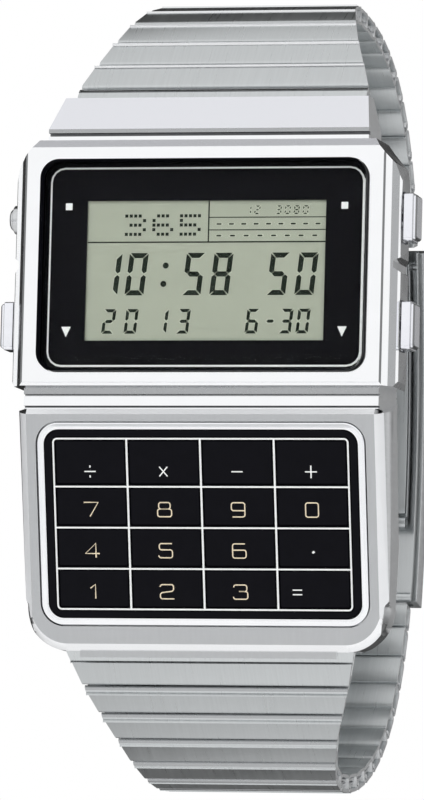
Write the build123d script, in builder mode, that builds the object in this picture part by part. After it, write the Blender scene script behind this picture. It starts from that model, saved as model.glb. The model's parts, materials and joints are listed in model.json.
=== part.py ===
from build123d import *
from math import atan2, cos, degrees, hypot, radians, sin, sqrt
import os

# A calculator watch on a folded-link steel bracelet, closed as it is worn.
# +X points to 3 o'clock, +Z to 12 o'clock, and the dial faces -Y.
# The origin is the centre of the outer face of the case back. A height is
# measured from that face towards the viewer, so a height h lies at y = -h.

# Case, overall
case_length = 48.8
case_width = 34.4
case_thickness = 8.2
case_wall = 3.5
back_thickness = 1.0
cut_overrun = 2.0

# Hood over the end of the bracelet at 12 o'clock
hood_length = 3.1
hood_inset = 2.9
hood_tip_inset = 3.65
hood_tip_drop = 3.6
hood_root_drop = 0.9
hood_gap = 1.0
hood_groove_width = 0.3
hood_groove_depth = 0.55

# Display block: its front face, its facets and the bulge at each side
display_share = 0.4406
display_chamfer = 0.7
display_face_inset = 1.2
display_facet_inset = 0.7
display_facet_drop = 0.7
display_shoulder_inset = 1.7
display_corner_inset = 0.45
display_corner_drop = 2.2
display_back_inset = 0.9
bulge_start = 3.6
bulge_front_drop = 1.5
bulge_rear_drop = 4.7
bulge_end_inset = 0.3
bulge_end_rise = 0.5

# Notch in each side between the two buttons
notch_drop = 0.15
notch_floor_inset = 0.5
notch_floor_length = 0.6
notch_mouth_length = 2.1

# Seam between the display block and the keypad block
seam_length = 2.0
neck_inset = 1.4
neck_drop = 0.5
seam_groove_width = 0.18
seam_groove_depth = 0.45
seam_strip_length = 0.72

# Keypad block, which slopes back towards 6 o'clock
keypad_end_height = 3.27
keypad_step = 0.15
keypad_bevel = 0.5
keypad_face_inset = 1.7
keypad_facet_inset = 1.0
keypad_facet_drop = 0.8
keypad_edge_inset = 0.5
keypad_edge_drop = 2.3
keypad_back_inset = 1.25
keypad_back_drop = 7.0
keypad_end_inset = 1.0
keypad_end_bevel = 0.58
end_lip_length = 0.55
end_lip_width = 22.9
end_lip_front_drop = 0.45
end_lip_thickness = 0.42
case_corner_radius = 3.8
case_corner_start = 3.95

# Upper corners of the case, cut away towards the back
corner_cut_height = 2.5
corner_cut_start = 7.4
corner_cut_middle = 3.8
corner_cut_inset = 3.3
corner_cut_end = 2.8
corner_cut_end_inset = 4.2

# Display window, mask and liquid crystal panel
window_side_margin = 1.4
window_end_margin = 1.45
window_drop = 0.3
window_radius = 1.65
window_thickness = 1.0
mask_thickness = 0.2
window_fit = 0.05
window_ledge_width = 0.6
front_wall = 0.8
lcd_side_margin = 3.95
lcd_end_margin = 3.2
lcd_drop = 0.35
lcd_side_border = 1.05
lcd_end_border = 0.9
lcd_thickness = 1.3
module_fit = 0.05

# Cavity and module
cavity_top_margin = 1.2
cavity_bottom_margin = 0.6
frame_side_gap = 1.2
frame_end_gap = 0.45
backlight_thickness = 1.45
backlight_side_margin = 0.6
backlight_end_margin = 1.4
zebra_side_margin = 1.7
zebra_width = 0.9
board_thickness = 0.6
board_margin = 0.2
battery_width_share = 0.64
battery_length_share = 0.8511
battery_thickness = 1.6
battery_side_margin = 1.5
battery_edge = 0.25
clamp_width = 3.0
clamp_thickness = 0.2
chip_side = 5.0
chip_thickness = 0.7
chip_side_margin = 3.5
chip_end_margin = 3.15
chip_edge = 0.2
crystal_diameter = 1.8
crystal_length_share = 0.32
crystal_side_margin = 3.9
crystal_end_share = 0.29
crystal_edge = 0.3
buzzer_share = 0.56
buzzer_place_share = 0.16
buzzer_thickness = 0.2
buzzer_spring_diameter = 0.8
buzzer_spring_margin = 3.1
buzzer_spring_drop_share = 0.0665

# Keypad: bright rim, black surround, white lattice and keys
rim_side_margin = 0.9
rim_end_margin = 1.75
rim_radius = 1.95
rim_wall = 0.65
rim_gap = 0.1
keypad_rise = 1.02
lattice_side_margin = 1.355
lattice_end_margin = 1.29
lattice_radius = 0.45
lattice_line = 0.25
top_row_extra = 0.56
rows = 4
columns = 4
keypad_fit = 0.05
key_gap = 0.06
key_thickness = 0.7
key_travel = 0.3
key_sink = 0.02
key_edge = 0.08
key_radius = 0.2
mat_thickness = 0.4
keypad_board_thickness = 0.3
backing_thickness = 0.3
ribbon_share = 0.44
ribbon_thickness = 0.15
ribbon_slot_length = 1.0
ribbon_bend = 0.9
ribbon_level = 2.5
ribbon_lap = 0.7
ribbon_channel_share = 0.56
ribbon_channel_length = 5.4
ribbon_channel_height = 5.6

# Side buttons
button_drop = 3.0
upper_button_share = 0.1884
lower_button_share = 0.2488
button_length = 4.2
button_depth = 2.5
button_proud = 1.3
button_cap_thickness = 1.2
button_crown = 0.35
button_lip = 0.3
button_stem_diameter = 1.6
button_travel = 0.5
button_fit = 0.05
button_stem_inset = 0.5
button_flange_diameter = 2.4
button_flange_thickness = 0.25
recess_margin = 0.15
pusher_diameter = 2.5
pusher_proud = 0.8
seal_diameter = 2.3
seal_length = 0.6
seal_inset = 1.65
switch_spring_thickness = 0.15
switch_spring_length = 3.4
switch_spring_height = 1.6

# Case back, its gasket and its screws
back_side_margin = 1.5
back_end_margin = 2.8
back_radius = 4.0
back_chamfer = 0.2
gasket_width = 0.4
gasket_side_margin = 0.1
gasket_end_margin = 0.4
gasket_depth = 0.5
gasket_radius = 1.5
screw_side_margin = 0.95
upper_screw_margin = 4.2
lower_screw_margin = 5.1
screw_head_diameter = 1.4
screw_head_height = 0.5
screw_sink = 0.05
screw_diameter = 0.8
screw_length = 3.2
screw_slot_width = 0.25
screw_slot_depth = 0.25
screw_slot_length = 1.1
screw_fit = 0.02

# Bracelet: folded links from the case to the clasp
strap_inset = 4.2
strap_end_width = 16.6
link_pitch = 3.1
link_thickness = 1.6
link_gap = 0.12
strip_length = 0.5
bottom_strip_end = 2.3
strip_groove = 0.12
strip_groove_depth = 0.3
inner_chamfer = 0.4
inner_chamfer_length = 0.35
bead_diameter = 0.6
bead_clearance = 0.06
strap_pocket_gap = 0.1
strap_pocket_depth = 2.4
spring_bar_diameter = 1.0
spring_bar_fit = 0.05
spring_bar_tip = 0.5
top_bar_drop = 1.4
bottom_bar_drop = 1.47
bar_inset = 1.4
top_first_link = 2.7
bottom_first_link = 4.15
group_counts = (3, 3, 3, 4, 4)
top_headings = (38, 42, 44, 51, 62, 76, 86, 93, 98, 103, 109, 117, 126, 135, 144, 152, 159)
bottom_headings = (39, 45, 48.5, 55.5, 65.5, 80, 91, 98, 104, 110, 117, 125, 133, 141, 149, 156, 162)
top_width_shares = (1, 0.99, 0.78, 0.56, 0.38, 0.22, 0.1, 0.03)
bottom_width_shares = (1, 0.76, 0.55, 0.34, 0.19, 0.06)

# Fold-over clasp: base blade, middle blade and cover, on one curve
clasp_radius = 80.0
cover_width = 18.2
cover_wall = 0.6
cover_plate = 0.5
cover_start = 2.3
cover_end_overlap = 0.55
blade_width = 15.2
blade_thickness = 0.6
blade_gap = 0.4
blade_wall_gap = 0.25
root_block_length = 1.8
base_hinge_place = 7.0
cover_hinge_place = 3.7
knuckle_diameter = 1.2
cover_knuckle_diameter = 0.9
hinge_pin_diameter = 0.5
hinge_fit = 0.05
knuckle_width = 7.0
knuckle_gap = 0.1
blade_notch = 0.75
open_pivot_gap = 0.3

# Widths that follow from the sizes above
display_face_width = case_width - 2 * display_face_inset
display_facet_width = case_width - 2 * display_facet_inset
display_back_width = case_width - 2 * display_back_inset
keypad_face_width = case_width - 2 * keypad_face_inset
keypad_facet_width = case_width - 2 * keypad_facet_inset
keypad_edge_width = case_width - 2 * keypad_edge_inset
keypad_end_width = case_width - 2 * keypad_end_inset
keypad_back_width = case_width - 2 * keypad_back_inset
neck_width = case_width - 2 * neck_inset
hood_width = case_width - 2 * hood_inset
cavity_width = case_width - 2 * case_wall
strap_width = case_width - 2 * strap_inset
pocket_width = strap_width + 2 * strap_pocket_gap
window_width = display_face_width - 2 * window_side_margin
lcd_window_width = window_width - 2 * lcd_side_margin
lcd_width = lcd_window_width + 2 * lcd_side_border
frame_width = cavity_width - 2 * frame_side_gap
backlight_width = lcd_width - 2 * backlight_side_margin
zebra_length = lcd_width - 2 * zebra_side_margin
rim_width = keypad_face_width - 2 * rim_side_margin
panel_width = rim_width - 2 * rim_wall
lattice_width = rim_width - 2 * lattice_side_margin
column_pitch = (lattice_width - lattice_line) / columns
cell_width = column_pitch - lattice_line
ribbon_width = ribbon_share * frame_width
ribbon_channel_width = ribbon_channel_share * frame_width
back_width = case_width - 2 * back_side_margin
gasket_outer_width = cavity_width + 2 * (gasket_side_margin + gasket_width)

# Heights and depths
neck_height = case_thickness - neck_drop
hood_tip_height = case_thickness - hood_tip_drop
hood_root_height = case_thickness - hood_root_drop
button_height = case_thickness - button_drop
top_bar_height = hood_tip_height - top_bar_drop
bottom_bar_height = keypad_end_height - bottom_bar_drop
seat_height = case_thickness - window_thickness - mask_thickness
cavity_height = seat_height - front_wall
lcd_front = seat_height - module_fit
lcd_back = lcd_front - lcd_thickness
board_front = lcd_back - backlight_thickness
board_height = board_front - board_thickness
keypad_stack = key_sink + key_thickness + key_travel + key_sink

# Lengths and places from 12 o'clock to 6 o'clock
half_length = case_length / 2
block_end = end_lip_length - half_length
hood_z = half_length - hood_length
display_block_length = display_share * case_length
display_top = hood_z - hood_gap
display_bottom = display_top - display_block_length
display_middle = (display_top + display_bottom) / 2
notch_place = display_middle - notch_drop
upper_button_place = display_middle + upper_button_share * display_block_length
lower_button_place = display_middle - lower_button_share * display_block_length
window_length = display_block_length - 2 * window_end_margin
window_place = display_middle - window_drop
lcd_window_length = window_length - 2 * lcd_end_margin
lcd_place = window_place - lcd_drop
lcd_length = lcd_window_length + 2 * lcd_end_border
backlight_length = lcd_length - 2 * backlight_end_margin
cavity_top = display_top - cavity_top_margin
cavity_bottom = display_bottom + cavity_bottom_margin
frame_place = (cavity_top + cavity_bottom) / 2
frame_length = cavity_top - cavity_bottom - 2 * frame_end_gap
keypad_top = display_bottom - seam_length
back_length = case_length - 2 * back_end_margin
gasket_outer_length = back_length - 2 * gasket_end_margin

# Slope of the keypad block, and the lengths along it
keypad_origin_y = keypad_step - case_thickness
keypad_origin_z = keypad_top - keypad_bevel
tilt = atan2(-keypad_origin_y - keypad_end_height, keypad_origin_z + half_length)
keypad_normal = Axis((0, 0, 0), (0, -cos(tilt), -sin(tilt)))
face_length = (keypad_origin_z + half_length) / cos(tilt)
slope_length = face_length + cut_overrun
keypad_place = face_length / 2 - keypad_rise
rim_length = face_length - 2 * rim_end_margin
panel_length = rim_length - 2 * rim_wall
lattice_length = rim_length - 2 * lattice_end_margin
row_length = (lattice_length - lattice_line - top_row_extra) / rows

# Places inside the module
battery_diameter = min(battery_width_share * frame_width, battery_length_share * frame_length)
battery_x = battery_side_margin + (battery_diameter - frame_width) / 2
chip_x = frame_width / 2 - chip_side_margin
chip_z = frame_place - frame_length / 2 + chip_end_margin
crystal_length = crystal_length_share * frame_length
crystal_x = frame_width / 2 - crystal_side_margin
crystal_z = frame_place + frame_length / 2 - crystal_end_share * frame_length
buzzer_diameter = buzzer_share * frame_width
buzzer_x = buzzer_place_share * frame_width
buzzer_spring_x = frame_width / 2 - buzzer_spring_margin
buzzer_spring_z = frame_place - buzzer_spring_drop_share * frame_length

# Half widths at the side buttons
button_reach = case_width / 2 + button_proud
pusher_reach = case_width / 2 + pusher_proud
button_stem_end = cavity_width / 2 - button_stem_inset
seal_start = case_width / 2 - seal_inset


def half_outline(points):
    """A closed outline from the points of its right half, from the axis round to the axis."""
    with BuildLine() as half:
        Polyline(*points)
        mirror(about=Plane.YZ)
    make_face(half.edges())


def ring(width, length, radius, wall):
    """A rounded rectangular ring, given its outer size."""
    RectangleRounded(width, length, radius)
    RectangleRounded(width - 2 * wall, length - 2 * wall, max(radius - wall, wall / 2), mode=Mode.SUBTRACT)


def keypad_plane(depth):
    """The plane that lies a depth under the keypad's face: local y runs up the slope."""
    return Plane(
        origin=(0, keypad_origin_y + depth * cos(tilt), keypad_origin_z + depth * sin(tilt)),
        x_dir=(1, 0, 0),
        z_dir=(0, -cos(tilt), -sin(tilt)),
    )


def finish(builder, name):
    """Label a finished sub-part and write it out."""
    builder.part.label = name
    export_step(builder.part, f"parts/{name}.step")


def side_name(side):
    """The word for the half of the bracelet on this side of the case."""
    return "upper" if side > 0 else "lower"


os.makedirs("parts", exist_ok=True)

# The case body is one shell, open at the back and at both windows.
display_section = [
    (0, -case_thickness),
    (display_face_width / 2, -case_thickness),
    (display_facet_width / 2, display_facet_drop - case_thickness),
    (case_width / 2, bulge_front_drop - case_thickness),
    (case_width / 2, bulge_rear_drop - case_thickness),
    (display_back_width / 2, -back_thickness),
    (0, -back_thickness),
]
hood_section = [
    (-back_thickness, half_length),
    (-hood_tip_height, half_length),
    (-hood_root_height, hood_z),
    (-hood_root_height, display_top),
    (-back_thickness, display_top),
]
keypad_section = [
    (0, 0),
    (keypad_face_width / 2, 0),
    (keypad_facet_width / 2, -keypad_facet_drop),
    (keypad_edge_width / 2, -keypad_edge_drop),
    (keypad_back_width / 2, -keypad_back_drop),
    (keypad_back_width / 2, -case_thickness),
    (0, -case_thickness),
]
front_outline = [
    (0, half_length),
    (case_width / 2 - hood_tip_inset, half_length),
    (hood_width / 2, hood_z),
    (case_width / 2 - display_shoulder_inset, display_top - display_chamfer),
    (case_width / 2 - display_corner_inset, display_top - display_corner_drop),
    (case_width / 2, display_top - bulge_start),
    (case_width / 2, display_bottom + bulge_end_rise),
    (case_width / 2 - bulge_end_inset, display_bottom),
    (keypad_edge_width / 2, display_bottom - neck_drop),
    (keypad_edge_width / 2, keypad_top),
    (keypad_end_width / 2, block_end + case_corner_start),
    (keypad_end_width / 2, block_end),
    (0, block_end),
]
notch_floor = case_width / 2 - notch_floor_inset
notch_mouth = case_width / 2 + notch_floor_length
notch_outline = [
    (notch_floor, notch_place + notch_floor_length / 2),
    (notch_mouth, notch_place + notch_mouth_length / 2),
    (notch_mouth, notch_place - notch_mouth_length / 2),
    (notch_floor, notch_place - notch_floor_length / 2),
]
buttons = [
    ("button_adjust", -1, upper_button_place, pusher_reach, True),
    ("button_mode", -1, lower_button_place, button_reach, False),
    ("button_light", 1, upper_button_place, button_reach, False),
    ("button_clear", 1, lower_button_place, button_reach, False),
]
screw_x = back_width / 2 - screw_side_margin
upper_screw_z = back_length / 2 - upper_screw_margin
lower_screw_z = lower_screw_margin - back_length / 2
screw_places = [
    (screw_x, upper_screw_z),
    (-screw_x, upper_screw_z),
    (screw_x, lower_screw_z),
    (-screw_x, lower_screw_z),
]
bar_places = [
    (-top_bar_height, half_length - bar_inset),
    (-bottom_bar_height, -half_length + bar_inset),
]


corner_cut_outline = [
    (case_width / 2 - display_back_inset, half_length - corner_cut_start),
    (case_width / 2 - corner_cut_inset, half_length - corner_cut_middle),
    (case_width / 2 - corner_cut_end_inset, half_length - corner_cut_end),
    (case_width / 2 - corner_cut_end_inset, half_length + cut_overrun),
    (case_width / 2 + cut_overrun, half_length + cut_overrun),
    (case_width / 2 + cut_overrun, half_length - corner_cut_start),
]


def cut_upper_corners():
    """Cut the two upper corners away near the back."""
    with BuildSketch(Plane.XZ) as corners:
        with BuildLine() as corner:
            Polyline(*corner_cut_outline, close=True)
        make_face(corner.edges())
        mirror(about=Plane.YZ)
    extrude(corners.sketch, amount=corner_cut_height, mode=Mode.SUBTRACT)


def recess_floor(reach):
    """The half width at the floor of a button's recess."""
    return reach - button_cap_thickness - button_travel - button_fit


with BuildPart() as case_body:
    with BuildSketch(Plane.XY.offset(display_bottom)):
        half_outline(display_section)
    extrude(amount=display_block_length)
    chamfer(case_body.edges().group_by(Axis.Z)[-1].sort_by(Axis.Y)[0], length=display_chamfer)
    chamfer(case_body.edges().group_by(Axis.Z)[0].sort_by(Axis.Y)[0], length=seam_groove_width)
    with BuildSketch(Plane.YZ):
        with BuildLine():
            Polyline(*hood_section, close=True)
        make_face()
    extrude(amount=hood_width / 2, both=True)
    with BuildSketch(Plane.XY.offset(keypad_top)):
        with Locations((0, -(neck_height + back_thickness) / 2)):
            Rectangle(neck_width, neck_height - back_thickness)
    extrude(amount=seam_length)
    slope = Plane(
        origin=(0, keypad_origin_y, keypad_origin_z),
        x_dir=(1, 0, 0),
        z_dir=(0, sin(tilt), -cos(tilt)),
    )
    with BuildSketch(slope):
        half_outline(keypad_section)
    extrude(amount=slope_length)
    with BuildSketch(Plane.YZ):
        with BuildLine():
            Polyline(
                (-back_thickness, keypad_top),
                (-neck_height, keypad_top),
                (keypad_origin_y, keypad_origin_z),
                (keypad_origin_y + slope_length * sin(tilt), -half_length),
                (-back_thickness, -half_length),
                close=True,
            )
        make_face()
    extrude(amount=keypad_face_width / 2, both=True)
    with BuildSketch(Plane.XZ.offset(back_thickness)) as outline_sketch:
        half_outline(front_outline)
        lowest = outline_sketch.vertices().group_by(Axis.Y)[0].sort_by(Axis.X)
        fillet([lowest[0], lowest[-1]], radius=case_corner_radius)
    extrude(amount=case_thickness, mode=Mode.INTERSECT)
    # bevel round the lower end of the keypad block
    lower_edges = case_body.edges().filter_by(
        lambda edge: edge.center().Z < case_corner_radius + block_end
    )
    front_edges = lower_edges.filter_by(
        lambda edge: edge.center().Y < keypad_end_bevel - keypad_end_height
    )
    chamfer(front_edges, length=keypad_end_bevel)
    # grooves across the case: under the hood and at the seam
    hood_groove_z = display_top + hood_gap / 2
    seam_groove_z = display_bottom - seam_groove_width / 2
    seam_middle_z = seam_groove_z - seam_strip_length
    seam_lower_z = keypad_top + seam_groove_width
    with BuildSketch(Plane.YZ):
        with Locations((-hood_root_height, hood_groove_z)):
            Rectangle(2 * hood_groove_depth, hood_groove_width)
        for groove_z in (seam_groove_z, seam_middle_z, seam_lower_z):
            with Locations((-neck_height, groove_z)):
                Rectangle(2 * seam_groove_depth, seam_groove_width)
    extrude(amount=case_length, both=True, mode=Mode.SUBTRACT)
    # side notches
    with BuildSketch(Plane.XZ):
        with BuildLine():
            Polyline(*notch_outline, close=True)
        make_face()
        mirror(about=Plane.YZ)
    extrude(amount=case_thickness + cut_overrun, mode=Mode.SUBTRACT)
    # display seat, window opening and module cavity
    with BuildSketch(Plane.XZ.offset(seat_height)):
        with Locations((0, window_place)):
            RectangleRounded(window_width, window_length, window_radius)
    extrude(amount=case_thickness, mode=Mode.SUBTRACT)
    with BuildSketch(Plane.XZ.offset(cavity_height)):
        with Locations((0, window_place)):
            RectangleRounded(
                window_width - 2 * window_ledge_width,
                window_length - 2 * window_ledge_width,
                window_radius - window_ledge_width,
            )
    extrude(amount=case_thickness, mode=Mode.SUBTRACT)
    with BuildSketch(Plane.XZ.offset(cavity_height)):
        with Locations((0, frame_place)):
            Rectangle(cavity_width, cavity_top - cavity_bottom)
    extrude(amount=-cavity_height, mode=Mode.SUBTRACT)
    with BuildSketch(Plane.XZ.offset(ribbon_channel_height)):
        with Locations((0, cavity_bottom - ribbon_channel_length / 2)):
            Rectangle(ribbon_channel_width, ribbon_channel_length + seam_groove_width)
    extrude(amount=-ribbon_channel_height, mode=Mode.SUBTRACT)
    # keypad seat and the sloping cavity behind it
    with BuildSketch(keypad_plane(keypad_stack)):
        with Locations((0, -keypad_place)):
            RectangleRounded(rim_width + 2 * rim_gap, rim_length + 2 * rim_gap, rim_radius + rim_gap)
    extrude(amount=case_thickness, mode=Mode.SUBTRACT)
    with BuildSketch(keypad_plane(keypad_stack)):
        with Locations((0, -keypad_place)):
            Rectangle(panel_width - keypad_fit, panel_length - keypad_fit)
    extrude(amount=-case_thickness, mode=Mode.SUBTRACT)
    # pockets for the ends of the bracelet and holes for the spring bars
    for (bar_y, bar_z), side in zip(bar_places, (1, -1)):
        pocket_height = -bar_y + link_thickness / 2 + strap_pocket_gap
        pocket_z = side * (half_length + (cut_overrun - strap_pocket_depth) / 2)
        with BuildSketch(Plane.XZ):
            with Locations((0, pocket_z)):
                Rectangle(pocket_width, strap_pocket_depth + cut_overrun)
        extrude(amount=pocket_height, mode=Mode.SUBTRACT)
        with BuildSketch(Plane.YZ):
            with Locations((bar_y, bar_z)):
                Circle(spring_bar_diameter / 2)
        extrude(amount=pocket_width / 2 + spring_bar_tip, both=True, mode=Mode.SUBTRACT)
    cut_upper_corners()
    # lip over the bracelet at the lower end
    with BuildSketch(Plane.XZ.offset(keypad_end_height - end_lip_front_drop)):
        with Locations((0, block_end - end_lip_length / 2)):
            Rectangle(end_lip_width, end_lip_length)
    extrude(amount=-end_lip_thickness)
    # button recesses, seal seats and stem bores
    for name, side, place, reach, is_round in buttons:
        with BuildSketch(Plane.YZ.offset(side * recess_floor(reach))):
            with Locations((-button_height, place)):
                if is_round:
                    Circle(pusher_diameter / 2 + recess_margin)
                else:
                    RectangleRounded(
                        button_depth + 2 * recess_margin,
                        button_length + 2 * recess_margin,
                        button_lip + recess_margin,
                    )
        extrude(amount=side * case_thickness, mode=Mode.SUBTRACT)
        with BuildSketch(Plane.YZ.offset(side * seal_start)):
            with Locations((-button_height, place)):
                Circle(seal_diameter / 2)
        extrude(amount=side * case_thickness, mode=Mode.SUBTRACT)
        with BuildSketch(Plane.YZ.offset(side * cavity_width / 2)):
            with Locations((-button_height, place)):
                Circle(button_stem_diameter / 2 + button_fit)
        extrude(amount=side * case_thickness, mode=Mode.SUBTRACT)
    # gasket groove and screw holes in the rear face
    with BuildSketch(Plane.XZ):
        ring(gasket_outer_width, gasket_outer_length, gasket_radius, gasket_width)
    extrude(amount=back_thickness + gasket_depth, mode=Mode.SUBTRACT)
    with BuildSketch(Plane.XZ):
        with Locations(*screw_places):
            Circle(screw_diameter / 2 + screw_fit)
    extrude(amount=screw_length + screw_fit, mode=Mode.SUBTRACT)
finish(case_body, "case_body")

# Display window and the printed mask under it share one seat.
with BuildPart() as display_window:
    with BuildSketch(Plane.XZ.offset(seat_height + mask_thickness)):
        with Locations((0, window_place)):
            RectangleRounded(window_width - 2 * window_fit, window_length - 2 * window_fit, window_radius)
    extrude(amount=window_thickness)
    chamfer(display_window.edges().group_by(Axis.Y)[0], length=window_fit)
finish(display_window, "display_window")

with BuildPart() as display_mask:
    with BuildSketch(Plane.XZ.offset(seat_height)):
        with Locations((0, window_place)):
            RectangleRounded(window_width - 2 * window_fit, window_length - 2 * window_fit, window_radius)
        with Locations((0, lcd_place)):
            Rectangle(lcd_window_width, lcd_window_length, mode=Mode.SUBTRACT)
    extrude(amount=mask_thickness)
finish(display_mask, "display_mask")

# Module: panel, light guide, connectors, frame and circuit board
with BuildPart() as lcd_panel:
    with BuildSketch(Plane.XZ.offset(lcd_back)):
        with Locations((0, lcd_place)):
            Rectangle(lcd_width, lcd_length)
    extrude(amount=lcd_thickness)
    chamfer(lcd_panel.edges().group_by(Axis.Y)[0], length=module_fit)
finish(lcd_panel, "lcd_panel")

with BuildPart() as backlight_panel:
    with BuildSketch(Plane.XZ.offset(board_front)):
        with Locations((0, lcd_place)):
            Rectangle(backlight_width, backlight_length)
    extrude(amount=lcd_back - board_front)
finish(backlight_panel, "backlight_panel")

zebra_offset = (lcd_length - zebra_width) / 2 - module_fit
with BuildPart() as zebra_connectors:
    with BuildSketch(Plane.XZ.offset(board_front)):
        with Locations((0, lcd_place + zebra_offset), (0, lcd_place - zebra_offset)):
            Rectangle(zebra_length, zebra_width)
    extrude(amount=lcd_back - board_front)
finish(zebra_connectors, "zebra_connectors")

with BuildPart() as module_frame:
    with BuildSketch(Plane.XZ.offset(board_front)):
        with Locations((0, frame_place)):
            Rectangle(frame_width, frame_length)
    extrude(amount=lcd_front - front_wall - board_front)
    with BuildSketch(Plane.XZ.offset(lcd_back)):
        with Locations((0, lcd_place)):
            Rectangle(lcd_width + 2 * front_wall, lcd_length + 2 * front_wall)
    extrude(amount=lcd_thickness)
    with BuildSketch(Plane.XZ.offset(lcd_back)):
        with Locations((0, lcd_place)):
            Rectangle(lcd_width + 2 * module_fit, lcd_length + 2 * module_fit)
    extrude(amount=lcd_thickness, mode=Mode.SUBTRACT)
    with BuildSketch(Plane.XZ.offset(board_front)):
        with Locations((0, lcd_place)):
            Rectangle(backlight_width + 2 * module_fit, backlight_length + 2 * module_fit)
        with Locations((0, lcd_place + zebra_offset), (0, lcd_place - zebra_offset)):
            Rectangle(zebra_length + 2 * module_fit, zebra_width + 2 * module_fit)
    extrude(amount=lcd_back - board_front, mode=Mode.SUBTRACT)
finish(module_frame, "module_frame")

with BuildPart() as main_circuit_board:
    with BuildSketch(Plane.XZ.offset(board_height)):
        with Locations((0, frame_place)):
            Rectangle(frame_width - 2 * board_margin, frame_length - 2 * board_margin)
    extrude(amount=board_thickness)
finish(main_circuit_board, "main_circuit_board")

with BuildPart() as processor_chip:
    with BuildSketch(Plane.XZ.offset(board_height - chip_thickness)):
        with Locations((chip_x, chip_z)):
            Rectangle(chip_side, chip_side)
    extrude(amount=chip_thickness)
    chamfer(processor_chip.edges().group_by(Axis.Y)[-1], length=chip_edge)
finish(processor_chip, "processor_chip")

with BuildPart() as quartz_crystal:
    with BuildSketch(Plane.XY.offset(crystal_z - crystal_length / 2)):
        with Locations((crystal_x, crystal_diameter / 2 - board_height)):
            Circle(crystal_diameter / 2)
    extrude(amount=crystal_length)
    chamfer(quartz_crystal.edges().group_by(Axis.Z)[-1], length=crystal_edge)
finish(quartz_crystal, "quartz_crystal")

battery_bottom = board_height - battery_thickness
with BuildPart() as coin_battery:
    with BuildSketch(Plane.XZ.offset(battery_bottom)):
        with Locations((battery_x, frame_place)):
            Circle(battery_diameter / 2)
    extrude(amount=battery_thickness)
    fillet(coin_battery.edges().group_by(Axis.Y)[-1], radius=battery_edge)
finish(coin_battery, "coin_battery")

clamp_reach = battery_diameter / 2 + 2 * clamp_thickness
with BuildPart() as battery_clamp:
    with BuildSketch(Plane.XZ.offset(battery_bottom - clamp_thickness)):
        with Locations((battery_x, frame_place)):
            Rectangle(2 * clamp_reach, clamp_width)
    extrude(amount=clamp_thickness)
    with BuildSketch(Plane.XZ.offset(battery_bottom - clamp_thickness)):
        for side in (1, -1):
            with Locations((battery_x + side * (clamp_reach - clamp_thickness / 2), frame_place)):
                Rectangle(clamp_thickness, clamp_width)
    extrude(amount=battery_thickness + clamp_thickness)
finish(battery_clamp, "battery_clamp")

with BuildPart() as buzzer_disc:
    with BuildSketch(Plane.XZ.offset(back_thickness)):
        with Locations((buzzer_x, frame_place)):
            Circle(buzzer_diameter / 2)
    extrude(amount=buzzer_thickness)
finish(buzzer_disc, "buzzer_disc")

with BuildPart() as buzzer_spring:
    with BuildSketch(Plane.XZ.offset(back_thickness + buzzer_thickness)):
        with Locations((buzzer_spring_x, buzzer_spring_z)):
            Circle(buzzer_spring_diameter / 2)
    extrude(amount=board_height - back_thickness - buzzer_thickness)
finish(buzzer_spring, "buzzer_spring")

# Leaf springs on the sides of the module frame, one behind each button
with BuildPart() as side_switch_springs:
    for side in (1, -1):
        with BuildSketch(Plane.YZ.offset(side * frame_width / 2)):
            with Locations((-button_height, upper_button_place), (-button_height, lower_button_place)):
                Rectangle(switch_spring_height, switch_spring_length)
        extrude(amount=side * switch_spring_thickness)
finish(side_switch_springs, "side_switch_springs")

# Keypad, from its bright rim to the plate that backs it
with BuildPart() as keypad_rim:
    with BuildSketch(keypad_plane(keypad_stack)):
        with Locations((0, -keypad_place)):
            ring(rim_width, rim_length, rim_radius, rim_wall)
    extrude(amount=keypad_stack)
finish(keypad_rim, "keypad_rim")

lattice_hole_width = lattice_width + 2 * keypad_fit
lattice_hole_length = lattice_length + 2 * keypad_fit
with BuildPart() as keypad_surround:
    with BuildSketch(keypad_plane(keypad_stack)):
        with Locations((0, -keypad_place)):
            RectangleRounded(
                panel_width - 2 * keypad_fit, panel_length - 2 * keypad_fit, rim_radius - rim_wall
            )
            RectangleRounded(
                lattice_hole_width, lattice_hole_length, lattice_radius + keypad_fit, mode=Mode.SUBTRACT
            )
    extrude(amount=keypad_stack - key_sink)
finish(keypad_surround, "keypad_surround")

key_cells = []
row_start = lattice_length / 2 - keypad_place - lattice_line / 2
for row in range(rows):
    row_pitch = row_length + top_row_extra if row == 0 else row_length
    for column in range(columns):
        cell_x = (column - (columns - 1) / 2) * column_pitch
        key_cells.append((cell_x, row_start - row_pitch / 2, row_pitch - lattice_line))
    row_start -= row_pitch

with BuildPart() as keypad_lattice:
    with BuildSketch(keypad_plane(keypad_stack)):
        with Locations((0, -keypad_place)):
            RectangleRounded(lattice_width, lattice_length, lattice_radius)
        for cell_x, cell_y, cell_length in key_cells:
            with Locations((cell_x, cell_y)):
                RectangleRounded(cell_width, cell_length, key_radius, mode=Mode.SUBTRACT)
    extrude(amount=keypad_stack)
finish(keypad_lattice, "keypad_lattice")

key_names = (
    "divide", "multiply", "minus", "plus",
    "7", "8", "9", "0",
    "4", "5", "6", "point",
    "1", "2", "3", "equals",
)
for key_name, (cell_x, cell_y, cell_length) in zip(key_names, key_cells):
    with BuildPart() as key:
        with BuildSketch(keypad_plane(key_sink + key_thickness)):
            with Locations((cell_x, cell_y)):
                RectangleRounded(cell_width - 2 * key_gap, cell_length - 2 * key_gap, key_radius)
        extrude(amount=key_thickness)
        chamfer(key.faces().sort_by(keypad_normal)[-1].edges(), length=key_edge)
    finish(key, f"key_{key_name}")

mat_depth = keypad_stack + mat_thickness
board_depth = mat_depth + keypad_board_thickness
backing_depth = board_depth + backing_thickness
layer_width = panel_width - 2 * keypad_fit
layer_length = panel_length - 2 * keypad_fit
layer_top = layer_length / 2 - keypad_place


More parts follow.
